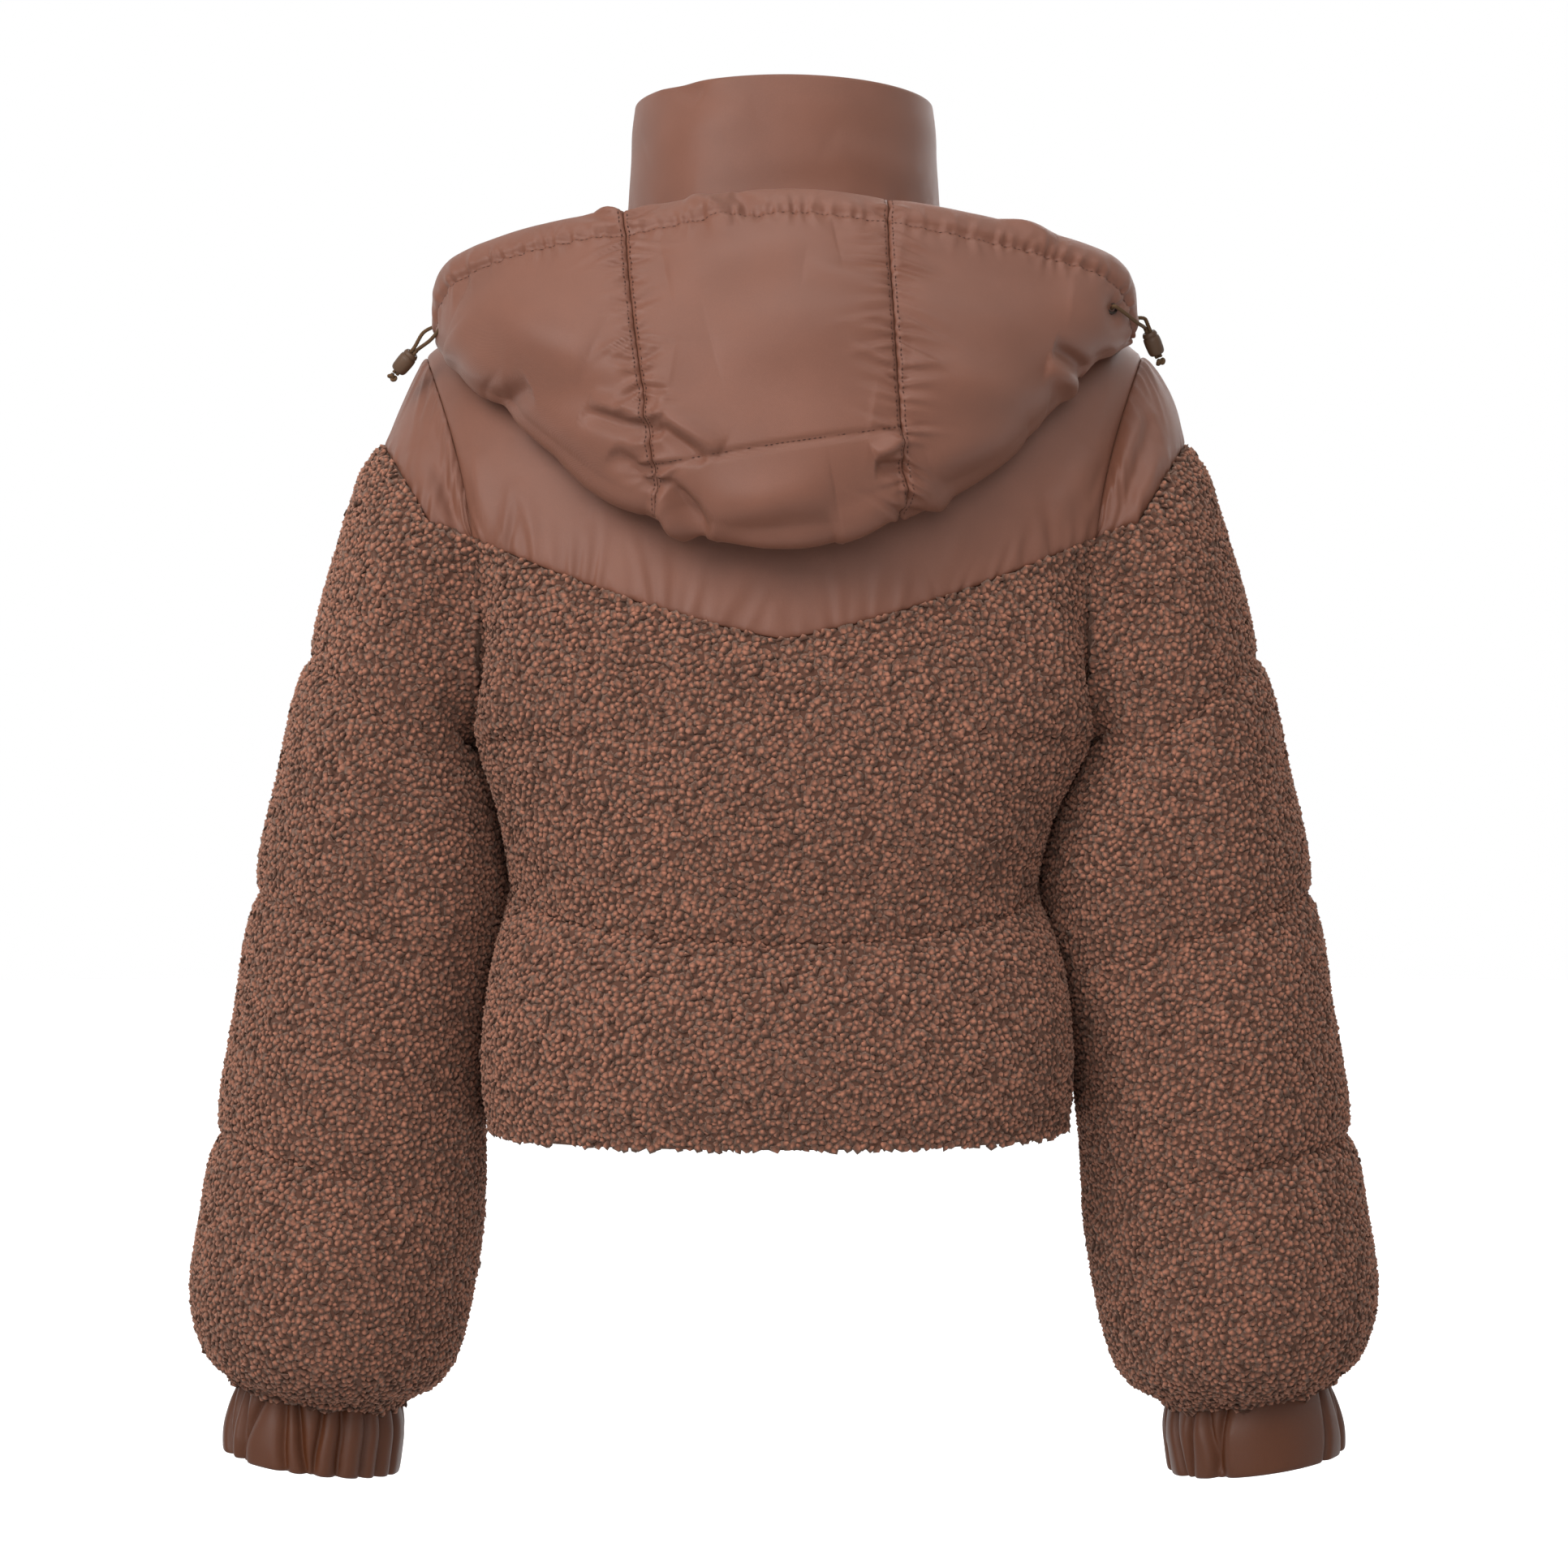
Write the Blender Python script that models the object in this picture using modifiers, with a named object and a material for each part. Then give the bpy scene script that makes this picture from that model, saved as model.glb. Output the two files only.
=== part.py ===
"""Cropped, hooded puffer jacket, zipped up and filled out as if worn.

Metres, +Z up, +X to the wearer's right as seen from behind, the back facing -Y.
The origin is at the base of the neck, where the shoulders carry the jacket.
Every cloth piece is a closed wall: a plain inner surface and an outer surface raised by its padding.
"""

import math
from collections import namedtuple

import bmesh
import bpy
from mathutils import Matrix, Vector
from mathutils.kdtree import KDTree

# ---------------------------------------------------------------- driving dimensions

MM = 0.001

SEAM_HALF_GAP = 0.25 * MM
SAME_POINT = 0.02 * MM
ARMPIT_THINNING = 0.45
CLOTH_AT_SEAM = 4.0 * MM
NYLON_WALL = 3.2 * MM
PUFF_FULLNESS = 0.55
LOWER_PUFF = 12.0 * MM
UPPER_PUFF = 12.5 * MM
SIDE_PUFF_SHARE = 0.20
INNER_SLEEVE_PUFF = 1.5 * MM
OUTER_SLEEVE_PUFF = 13.0 * MM
YOKE_SWELL = 2.5 * MM
YOKE_PUCKER = 1.5 * MM
CAP_SWELL = 2.0 * MM

HEM_Z = -0.525
SIDE_QUILT_Z = -0.378
BACK_QUILT_Z = -0.411
UNDERARM_Z = -0.288
YOKE_SIDE_Z = -0.179
YOKE_POINT_Z = -0.239
FRONT_YOKE_Z = -0.190
FRONT_QUILT_Z = -0.392

SHOULDER_TIP = Vector((0.209, 0.0, -0.070))
UNDERARM = Vector((0.177, 0.0, UNDERARM_Z))
ARMHOLE_HALF_DEPTH = 0.075
ARMHOLE_BOW = 0.016

NECK_HALF_WIDTH = 0.090
NECK_BACK_DEPTH = 0.080
NECK_FRONT_DEPTH = 0.078
NECK_FRONT_DROP = 0.028
COLLAR_TOP_HALF_WIDTH = 0.080
COLLAR_TOP_DEPTH = 0.074
COLLAR_SIDE_TOP_Z = 0.071
COLLAR_BACK_RISE = 0.015
COLLAR_FRONT_RISE = 0.004

ZIP_HALF_OPENING = 5.2 * MM
COIL_HALF_WIDTH = 3.0 * MM

COLUMNS_PER_HALF = 12
NECK_SHARE = 0.5
HEM_ROWS = 6
LOWER_ROWS = 4
ARM_ROWS = 6
YOKE_ROWS = 6
SLEEVE_COLUMNS = 24
QUARTER = 6

BACK = -1.0
FRONT = 1.0

TORSO_MIDDLE = Vector((0.0, 0.0, -0.3))
COLLAR_MIDDLE = Vector((0.0, 0.0, 0.03))
HOOD_INSIDE = Vector((0.0, -0.125, -0.06))

# Torso sections, hem to underarm: the inside surface's half width, sideways lean and depths.
BodyRow = namedtuple("BodyRow", "z half_width lean back_depth front_depth")
BODY_ROWS = [
    BodyRow(-0.540, 0.1625, -0.0022, 0.113, 0.108),
    BodyRow(-0.510, 0.1675, -0.0037, 0.116, 0.112),
    BodyRow(-0.475, 0.1675, -0.0040, 0.117, 0.114),
    BodyRow(-0.420, 0.1610, -0.0040, 0.113, 0.112),
    BodyRow(-0.382, 0.1520, -0.0060, 0.109, 0.109),
    BodyRow(-0.337, 0.1590, -0.0045, 0.113, 0.113),
    BodyRow(-0.288, 0.1770, 0.0000, 0.117, 0.115),
    BodyRow(-0.239, 0.1800, 0.0000, 0.118, 0.114),
    BodyRow(-0.179, 0.1800, 0.0000, 0.115, 0.110),
]

# Right sleeve sections: outermost and innermost points of each ring, its half depth and its reach forward.
SleeveRow = namedtuple("SleeveRow", "outer_x outer_z inner_x inner_z half_depth forward")
SLEEVE_ROWS = [
    SleeveRow(0.2090, -0.0700, 0.1770, -0.2880, 0.0750, 0.000),
    SleeveRow(0.2210, -0.0940, 0.1915, -0.2925, 0.0775, 0.001),
    SleeveRow(0.2330, -0.1230, 0.1960, -0.2985, 0.0790, 0.004),
    SleeveRow(0.2520, -0.1730, 0.1940, -0.3070, 0.0800, 0.008),
    SleeveRow(0.2770, -0.2460, 0.1890, -0.3180, 0.0800, 0.013),
    SleeveRow(0.2880, -0.3130, 0.1850, -0.3660, 0.0800, 0.018),
    SleeveRow(0.3090, -0.3850, 0.1810, -0.4300, 0.0810, 0.023),
    SleeveRow(0.3170, -0.4550, 0.1870, -0.4950, 0.0830, 0.028),
    SleeveRow(0.3335, -0.5290, 0.1835, -0.5640, 0.0830, 0.032),
    SleeveRow(0.3350, -0.5750, 0.1880, -0.6060, 0.0840, 0.034),
    SleeveRow(0.3390, -0.6220, 0.1970, -0.6500, 0.0820, 0.036),
    SleeveRow(0.3340, -0.6540, 0.2080, -0.6740, 0.0720, 0.037),
    SleeveRow(0.3250, -0.6760, 0.2330, -0.6900, 0.0520, 0.038),
]
CAP_RING = 2
CAP_END_RING = 0.40
CAP_END_THINNING = 0.72
SLEEVE_QUILT_RINGS = (2, 4, 6, 8, 12)

CuffRow = namedtuple("CuffRow", "outer_x outer_z inner_x inner_z half_depth forward")
CUFF_ROWS = [
    CuffRow(0.3210, -0.6777, 0.2370, -0.6912, 0.0480, 0.038),
    CuffRow(0.3255, -0.6920, 0.2355, -0.7060, 0.0495, 0.038),
    CuffRow(0.3290, -0.7060, 0.2370, -0.7200, 0.0490, 0.038),
    CuffRow(0.3295, -0.7170, 0.2390, -0.7305, 0.0480, 0.038),
]
CUFF_RINGS = (0.0, 0.8, 2.0, 3.0)
CUFF_GATHERS = 26
CUFF_GATHER_HEIGHT = 2.6 * MM

# Hood sections from the left tip to the right tip, by their share of the way across (-1 to 1).
HoodRow = namedtuple("HoodRow", "share rim_x rim_y rim_z bottom_x belly_y bottom_z")
HOOD_ROWS = [
    HoodRow(-1.00, -0.1900, -0.062, -0.0480, -0.1950, -0.070, -0.0640),
    HoodRow(-0.90, -0.1860, -0.078, -0.0300, -0.1800, -0.098, -0.0800),
    HoodRow(-0.75, -0.1600, -0.100, -0.0165, -0.1540, -0.130, -0.1060),
    HoodRow(-0.60, -0.1200, -0.118, -0.0075, -0.1100, -0.160, -0.1410),
    HoodRow(-0.45, -0.0880, -0.127, -0.0030, -0.0680, -0.179, -0.1680),
    HoodRow(0.00, -0.0120, -0.135, 0.0060, 0.0000, -0.190, -0.1840),
    HoodRow(0.45, 0.0570, -0.131, 0.0036, 0.0660, -0.181, -0.1660),
    HoodRow(0.60, 0.1050, -0.120, -0.0050, 0.1050, -0.162, -0.1440),
    HoodRow(0.75, 0.1500, -0.102, -0.0145, 0.1470, -0.132, -0.1040),
    HoodRow(0.90, 0.1850, -0.079, -0.0290, 0.1780, -0.100, -0.0720),
    HoodRow(1.00, 0.1915, -0.062, -0.0480, 0.1960, -0.070, -0.0620),
]
HOOD_SEAM_SHARE = 0.45
HOOD_SIDE_COLUMNS = 9
HOOD_CENTRE_COLUMNS = 12
HOOD_OUTER_ROWS = 9
HOOD_UNDER_ROWS = 6
HOOD_LIFT = 4.7 * MM
RIM_TUNNEL_WALL = 6.0 * MM
HOOD_SWELL = 1.2 * MM

# Broad soft folds raised (or sunk, below nought) in the outer surface, from one end to the other.
Fold = namedtuple("Fold", "facing x0 z0 x1 z1 half_width height")
FOLDS = [
    Fold(BACK, 0.135, -0.105, 0.172, -0.168, 0.011, 4.5 * MM),
    Fold(BACK, 0.112, -0.150, 0.150, -0.182, 0.010, 3.0 * MM),
    Fold(BACK, -0.170, -0.110, -0.140, -0.172, 0.010, 3.0 * MM),
    Fold(BACK, -0.120, -0.235, -0.060, -0.300, 0.020, -3.0 * MM),
    Fold(BACK, 0.130, -0.230, 0.070, -0.310, 0.020, -3.0 * MM),
    Fold(BACK, -0.140, -0.350, -0.070, -0.372, 0.014, 3.0 * MM),
    Fold(BACK, 0.135, -0.345, 0.060, -0.375, 0.014, 3.0 * MM),
    Fold(BACK, -0.090, -0.440, -0.100, -0.500, 0.018, -3.0 * MM),
    Fold(BACK, 0.080, -0.440, 0.095, -0.500, 0.018, -3.0 * MM),
    Fold(FRONT, -0.130, -0.225, -0.070, -0.290, 0.020, -3.0 * MM),
    Fold(FRONT, 0.130, -0.225, 0.070, -0.290, 0.020, -3.0 * MM),
    Fold(FRONT, -0.120, -0.345, -0.060, -0.372, 0.014, 3.0 * MM),
    Fold(FRONT, 0.120, -0.345, 0.060, -0.372, 0.014, 3.0 * MM),
    Fold(FRONT, 0.090, -0.430, 0.100, -0.500, 0.018, -3.0 * MM),
    Fold(FRONT, -0.085, -0.430, -0.095, -0.500, 0.018, -3.0 * MM),
]

CORD_RADIUS = 0.9 * MM
STRAND_OFFSET = 1.1 * MM
LOCK_RADIUS = 4.2 * MM
SLOT_HALF_WIDTH = 2.5 * MM
SLOT_HALF_HEIGHT = 1.42 * MM
KNOT_RADIUS = 2.7 * MM
KNOT_GAP = 0.35 * MM
STRAND_TAIL = 2.2 * MM
EYELET_RADIUS = 3.6 * MM
EYELET_HOLE = 2.1 * MM
EYELET_THICK = 1.2 * MM

# Each side's eyelet, the open end of the tunnel, the cord lock, and how each strand bows on its way.
CordSide = namedtuple("CordSide", "name side eyelet tunnel_end lock_top lock_bottom eyelet_bow tunnel_bow")
CORD_SIDES = [
    CordSide("left", -1.0, Vector((-0.1850, -0.1027, -0.0500)), Vector((-0.1965, -0.0688, -0.0551)),
             Vector((-0.2150, -0.0560, -0.0705)), Vector((-0.2240, -0.0520, -0.0805)),
             Vector((-0.2030, -0.0850, -0.0640)), Vector((-0.2080, -0.0600, -0.0590))),
    CordSide("right", 1.0, Vector((0.1860, -0.1010, -0.0500)), Vector((0.1970, -0.0689, -0.0530)),
             Vector((0.2110, -0.0560, -0.0585)), Vector((0.2165, -0.0520, -0.0708)),
             Vector((0.2020, -0.0860, -0.0565)), Vector((0.2080, -0.0600, -0.0510))),
]

TEDDY = ("teddy_pile", (0.26, 0.14, 0.09), 0.95, 0.0)
NYLON = ("brown_nylon", (0.27, 0.15, 0.10), 0.55, 0.0)
CUFF_CLOTH = ("cuff_nylon", (0.15, 0.07, 0.045), 0.60, 0.0)
CORD_CLOTH = ("cord", (0.10, 0.07, 0.04), 0.90, 0.0)
LOCK_PLASTIC = ("lock_plastic", (0.09, 0.05, 0.035), 0.50, 0.0)
TRIM_METAL = ("dark_metal", (0.10, 0.08, 0.07), 0.35, 1.0)
ZIP_CLOTH = ("zip_tape", (0.13, 0.07, 0.045), 0.85, 0.0)
ZIP_PLASTIC = ("zip_plastic", (0.12, 0.065, 0.045), 0.45, 0.0)


# ---------------------------------------------------------------- small helpers

def clear_scene():
    """Remove every object left in the file."""
    for thing in list(bpy.data.objects):
        bpy.data.objects.remove(thing, do_unlink=True)


def make_collection(name):
    """Return a new collection linked to the scene."""
    collection = bpy.data.collections.new(name)
    bpy.context.scene.collection.children.link(collection)
    return collection


def make_material(node_name, look):
    """Give one node its own Principled material."""
    name, colour, roughness, metallic = look
    material = bpy.data.materials.new(f"{name}_{node_name}")
    material.use_nodes = True
    shader = material.node_tree.nodes["Principled BSDF"]
    shader.inputs["Base Color"].default_value = (*colour, 1.0)
    shader.inputs["Roughness"].default_value = roughness
    shader.inputs["Metallic"].default_value = metallic
    return material


def clamp(value, low=0.0, high=1.0):
    """Keep a value between two limits."""
    return max(low, min(high, value))


def ease(value):
    """Smooth step from nought to one."""
    share = clamp(value)
    return share * share * (3.0 - 2.0 * share)


def through(keys, values, key):
    """Read a smooth curve through (key, value) pairs whose keys rise."""
    key = clamp(key, keys[0], keys[-1])
    last = len(keys) - 2
    index = 0
    while index < last and key > keys[index + 1]:
        index += 1
    span = keys[index + 1] - keys[index]
    share = (key - keys[index]) / span

    def slope(at):
        before, after = max(at - 1, 0), min(at + 1, len(keys) - 1)
        return (values[after] - values[before]) / (keys[after] - keys[before])

    square, cube = share ** 2, share ** 3
    return ((2 * cube - 3 * square + 1) * values[index]
            + (cube - 2 * square + share) * span * slope(index)
            + (3 * square - 2 * cube) * values[index + 1]
            + (cube - square) * span * slope(index + 1))


def table_value(rows, key_name, key, column):
    """Read one column of a table smoothly at a key."""
    ordered = sorted(rows, key=lambda row: getattr(row, key_name))
    keys = [getattr(row, key_name) for row in ordered]
    values = [getattr(row, column) for row in ordered]
    return through(keys, values, key)


def puff(share, fullness=0.6):
    """Height of a padded panel between two seams, nought at both and one in the middle."""
    return max(math.sin(math.pi * clamp(share)), 0.0) ** fullness


# ---------------------------------------------------------------- surfaces and walls

class Surface:
    """A grid of points on the inside of a panel, with the outward direction at each."""

    def __init__(self, points, middle, closed=False):
        self.points = points
        self.closed = closed
        self.outward = [[Vector() for _ in row] for row in points]
        self.flip = 1.0
        row, column = len(points) // 2, len(points[0]) // 3
        normal = self.cell_normal(row - 1, column)
        if normal.dot(points[row][column] - middle) < 0.0:
            self.flip = -1.0

    def cell_normal(self, row, column):
        """Return the area-weighted normal of one cell."""
        here = self.points[row][column]
        after = (column + 1) % len(self.points[0])
        across = self.points[row + 1][after] - here
        along = self.points[row + 1][column] - self.points[row][after]
        return self.flip * across.cross(along)

    def cells(self):
        """Yield each cell's row and column."""
        columns = len(self.points[0])
        for row in range(len(self.points) - 1):
            for column in range(columns if self.closed else columns - 1):
                yield row, column


def join_outward(surfaces):
    """Work out outward directions, shared wherever two surfaces have a point in common."""
    totals = []
    for surface in surfaces:
        columns = len(surface.points[0])
        own = [[Vector() for _ in line] for line in surface.points]
        for row, column in surface.cells():
            normal = surface.cell_normal(row, column)
            after = (column + 1) % columns
            for at_row, at_column in ((row, column), (row, after), (row + 1, column), (row + 1, after)):
                own[at_row][at_column] += normal
        for row, line in enumerate(surface.points):
            totals += [(surface, row, column, point, own[row][column]) for column, point in enumerate(line)]
    tree = KDTree(len(totals))
    for index, entry in enumerate(totals):
        tree.insert(entry[3], index)
    tree.balance()
    for surface, row, column, point, _ in totals:
        meeting = tree.find_range(point, SAME_POINT)
        normal = sum((totals[index][4] for _, index, _ in meeting), Vector())
        surface.outward[row][column] = normal.normalized()


def edge_shift(here, inner, outward):
    """Return the small step that opens a seam, across the wall and away from the neighbour."""
    step = inner - here
    step = step - outward * step.dot(outward)
    return step.normalized() * SEAM_HALF_GAP


def wall(name, look, collection, points, outward, thickness, closed=False):
    """Build one cloth piece as a closed wall from inside points and a thickness for each."""
    rows, columns = len(points), len(points[0])
    inside, outside = [], []
    for row in range(rows):
        for column in range(columns):
            here = points[row][column]
            out = outward[row][column]
            shift = Vector()
            if row in (0, rows - 1):
                neighbour = 1 if row == 0 else rows - 2
                shift += edge_shift(here, points[neighbour][column], out)
            if not closed and column in (0, columns - 1):
                neighbour = 1 if column == 0 else columns - 2
                shift += edge_shift(here, points[row][neighbour], out)
            inside.append(here + shift)
            outside.append(here + shift + out * thickness[row][column])
    return close_wall(name, look, collection, inside, outside, rows, columns, closed)


def close_wall(name, look, collection, inside, outside, rows, columns, closed):
    """Join an inside and an outside grid with rims into one solid."""
    count = rows * columns
    faces = []

    def at(row, column, layer=0):
        return layer * count + row * columns + column % columns

    steps = columns if closed else columns - 1
    for row in range(rows - 1):
        for column in range(steps):
            corner = (row, column), (row, column + 1), (row + 1, column + 1), (row + 1, column)
            faces.append([at(*place) for place in corner])
            faces.append([at(*place, 1) for place in reversed(corner)])
    for column in range(steps):
        faces.append([at(0, column + 1), at(0, column), at(0, column, 1), at(0, column + 1, 1)])
        faces.append([at(rows - 1, column), at(rows - 1, column + 1),
                      at(rows - 1, column + 1, 1), at(rows - 1, column, 1)])
    if not closed:
        for row in range(rows - 1):
            faces.append([at(row, 0), at(row + 1, 0), at(row + 1, 0, 1), at(row, 0, 1)])
            faces.append([at(row + 1, columns - 1), at(row, columns - 1),
                          at(row, columns - 1, 1), at(row + 1, columns - 1, 1)])
    return make_solid(name, look, collection, inside + outside, faces)


def make_solid(name, look, collection, vertices, faces):
    """Make a named mesh object with outward faces and its own material."""
    mesh = bpy.data.meshes.new(name)
    mesh.from_pydata([tuple(vertex) for vertex in vertices], [], faces)
    shape = bmesh.new()
    shape.from_mesh(mesh)
    bmesh.ops.triangulate(shape, faces=shape.faces[:])
    bmesh.ops.recalc_face_normals(shape, faces=shape.faces[:])
    shape.to_mesh(mesh)
    shape.free()
    thing = bpy.data.objects.new(name, mesh)
    thing.data.materials.append(make_material(name, look))
    for face in mesh.polygons:
        face.use_smooth = True
    collection.objects.link(thing)
    return thing


def part_of(grid, rows, columns):
    """Cut a block of rows and columns out of a grid."""
    return [[grid[row][column] for column in columns] for row in rows]


def fold_height(point, facing):
    """Add up the folds that pass near a point."""
    total = 0.0
    for fold in FOLDS:
        if fold.facing * facing < 0.0:
            continue
        start = Vector((fold.x0, fold.z0))
        run = Vector((fold.x1, fold.z1)) - start
        place = Vector((point.x, point.z)) - start
        along = place.dot(run) / run.length_squared
        if -0.1 < along < 1.1:
            off = (place - run * along).length / fold.half_width
            total += fold.height * math.exp(-off * off) * puff((along + 0.1) / 1.2)
    return total


# ---------------------------------------------------------------- torso

def armhole_point(side, facing, degrees):
    """Return a point on the armhole: 0 degrees at the shoulder tip, 180 at the underarm."""
    angle = math.radians(degrees)
    middle = (SHOULDER_TIP + UNDERARM) / 2.0
    reach = (SHOULDER_TIP - UNDERARM) / 2.0
    point = middle + reach * math.cos(angle)
    point.x -= ARMHOLE_BOW * math.sin(angle) ** 2
    point.x *= side
    point.y = facing * ARMHOLE_HALF_DEPTH * math.sin(angle)
    return point


def armhole_degrees(z):
    """Return the armhole angle at a height."""
    middle = (SHOULDER_TIP.z + UNDERARM_Z) / 2.0
    half = (SHOULDER_TIP.z - UNDERARM_Z) / 2.0
    return math.degrees(math.acos(clamp((z - middle) / half, -1.0, 1.0)))


def body(z, column):
    """Read the torso table at a height."""
    return table_value(BODY_ROWS, "z", z, column)


def section_point(z, share, side, facing, opening):
    """Return a point of the torso section at a height, share 0 at the centre and 1 at the side."""
    if z <= UNDERARM_Z + SAME_POINT:
        side_x, side_y, lean = body(z, "half_width"), 0.0, body(z, "lean")
        turn = math.radians(90.0)
    else:
        edge = armhole_point(1.0, facing, armhole_degrees(z))
        side_x, side_y, lean = edge.x, abs(edge.y), 0.0
        turn = math.radians(90.0 - 28.0 * ease((z - UNDERARM_Z) / (YOKE_SIDE_Z - UNDERARM_Z)))
    depth = body(z, "back_depth" if facing < 0.0 else "front_depth")
    across = (math.sin(share * turn) / math.sin(turn)) ** 0.85
    level = (math.cos(share * turn) - math.cos(turn)) / (1.0 - math.cos(turn))
    x = side * (opening + (side_x - opening) * across) + lean * across
    y = facing * (side_y + (depth - side_y) * max(level, 0.0) ** 0.85)
    return Vector((x, y, z))


def seam_heights(share, facing):
    """Return the quilt seam and yoke seam heights at a share of the way to the side."""
    if facing < 0.0:
        quilt_middle, yoke_middle = BACK_QUILT_Z, YOKE_POINT_Z
        yoke_fall = (1.0 - share) ** 1.1
    else:
        quilt_middle, yoke_middle = FRONT_QUILT_Z, FRONT_YOKE_Z
        yoke_fall = 1.0 - share
    quilt = SIDE_QUILT_Z + (quilt_middle - SIDE_QUILT_Z) * (1.0 - share ** 1.6)
    yoke = YOKE_SIDE_Z + (yoke_middle - YOKE_SIDE_Z) * yoke_fall
    return quilt, yoke


def neck_point(share, side, facing):
    """Return a point of the neck seam, share 0 at the centre and 1 at the side of the neck."""
    angle = math.radians(90.0) * share
    opening = ZIP_HALF_OPENING if facing > 0.0 else 0.0
    depth = NECK_FRONT_DEPTH if facing > 0.0 else NECK_BACK_DEPTH
    drop = NECK_FRONT_DROP * math.cos(angle) ** 2 if facing > 0.0 else 0.0
    x = opening + (NECK_HALF_WIDTH - opening) * math.sin(angle)
    return Vector((side * x, facing * depth * math.cos(angle), -drop))


def yoke_top(share, side, facing):
    """Return a point of the neck seam or of the shoulder seam beyond it."""
    if share <= NECK_SHARE:
        return neck_point(share / NECK_SHARE, side, facing)
    along = (share - NECK_SHARE) / (1.0 - NECK_SHARE)
    neck = neck_point(1.0, side, facing)
    tip = Vector((side * SHOULDER_TIP.x, 0.0, SHOULDER_TIP.z))
    point = neck.lerp(tip, along)
    point.z += 0.006 * math.sin(math.pi * along)
    return point


def yoke_point(rise, share, side, facing, opening):
    """Return a point of the yoke, rise 0 at its lower seam and 1 at the shoulder and neck."""
    low = section_point(seam_heights(share, facing)[1], share, side, facing, opening)
    top = yoke_top(share, side, facing)
    bend = Vector(((low.x + top.x) / 2.0, low.y * 1.03, top.z - 0.2 * (top.z - low.z)))
    point = low * (1.0 - rise) ** 2 + bend * 2.0 * rise * (1.0 - rise) + top * rise ** 2
    edge_low = section_point(YOKE_SIDE_Z, 1.0, side, facing, opening)
    edge_top = Vector((side * SHOULDER_TIP.x, 0.0, SHOULDER_TIP.z))
    edge_bend = Vector(((edge_low.x + edge_top.x) / 2.0, edge_low.y * 1.03,
                        edge_top.z - 0.2 * (edge_top.z - edge_low.z)))
    edge = edge_low * (1.0 - rise) ** 2 + edge_bend * 2.0 * rise * (1.0 - rise) + edge_top * rise ** 2
    wanted = armhole_point(side, facing, 90.0 * (1.0 - rise))
    return point + (wanted - edge) * share ** 3


def torso_grid(side, facing):
    """Return the inside points of one quarter of the torso, hem to shoulder and centre to side."""
    opening = ZIP_HALF_OPENING if facing > 0.0 else 0.0
    grid = []
    side_rows = [HEM_Z + (SIDE_QUILT_Z - HEM_Z) * row / HEM_ROWS for row in range(HEM_ROWS)]
    side_rows += [SIDE_QUILT_Z + (UNDERARM_Z - SIDE_QUILT_Z) * row / LOWER_ROWS for row in range(LOWER_ROWS)]
    for row in range(ARM_ROWS + 1):
        side_rows.append(armhole_point(side, facing, 180.0 - 90.0 * row / ARM_ROWS).z)
    for row, side_z in enumerate(side_rows):
        line = []
        for column in range(COLUMNS_PER_HALF + 1):
            share = column / COLUMNS_PER_HALF
            quilt, yoke = seam_heights(share, facing)
            hem = HEM_Z - 0.003 * (1.0 - share ** 2)
            if row < HEM_ROWS:
                z = hem + (quilt - hem) * row / HEM_ROWS
            else:
                z = quilt + (yoke - quilt) * (side_z - SIDE_QUILT_Z) / (YOKE_SIDE_Z - SIDE_QUILT_Z)
            line.append(section_point(z, share, side, facing, opening))
        grid.append(line)
    for row in range(1, YOKE_ROWS + 1):
        rise = row / YOKE_ROWS
        grid.append([yoke_point(rise, column / COLUMNS_PER_HALF, side, facing, opening)
                     for column in range(COLUMNS_PER_HALF + 1)])
    return grid


def full_back(left, right):
    """Join the left and right quarters of the back into one grid, left side to right side."""
    return [list(reversed(one[1:])) + other for one, other in zip(left, right)]


YOKE_ROW = HEM_ROWS + LOWER_ROWS + ARM_ROWS


def body_thickness(surface, facing, zip_column):
    """Give the padded body's thickness: two puffs up the panel, thin at seams and edges."""
    columns = len(surface.points[0])
    grid = []
    for row in range(YOKE_ROW + 1):
        if row <= HEM_ROWS:
            rise, height = puff(row / HEM_ROWS, PUFF_FULLNESS), LOWER_PUFF
        else:
            rise, height = puff((row - HEM_ROWS) / (YOKE_ROW - HEM_ROWS), PUFF_FULLNESS), UPPER_PUFF
        line = []
        below_arm = 1.0 - ease((row - HEM_ROWS) / LOWER_ROWS)
        for column in range(columns):
            from_side = columns - 1 - column if zip_column is not None else min(column, columns - 1 - column)
            floor = SIDE_PUFF_SHARE * below_arm
            share = floor + (1.0 - floor) * ease(from_side / 4.0)
            if zip_column is not None:
                share *= ease(column / 3.0)
            point = surface.points[row][column]
            fold = fold_height(point, facing) * rise
            near_arm = ease((row - HEM_ROWS - LOWER_ROWS + 3) / 2.0) * (1.0 - ease(from_side / 2.5))
            line.append(CLOTH_AT_SEAM * (1.0 - ARMPIT_THINNING * near_arm)
                        + height * rise * share * (1.0 - near_arm) + fold)
        grid.append(line)
    return grid


def yoke_thickness(surface, facing):
    """Give the light yoke's thickness, with its short puckers above the lower seam."""
    columns = len(surface.points[0])
    grid = []
    for row in range(YOKE_ROW, len(surface.points)):
        rise = (row - YOKE_ROW) / YOKE_ROWS
        line = []
        for column in range(columns):
            pucker = YOKE_PUCKER * (0.5 + 0.5 * math.cos(column * math.pi)) * math.exp(-(rise / 0.35) ** 2)
            inner = 0.0 if column in (0, columns - 1) else 1.0
            fold = fold_height(surface.points[row][column], facing) * puff(rise, 0.5)
            swell = YOKE_SWELL * puff(rise, 0.7)
            line.append(CLOTH_AT_SEAM + inner * (swell + pucker * puff(rise + 0.12, 0.4) + fold))
        grid.append(line)
    return grid


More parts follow.
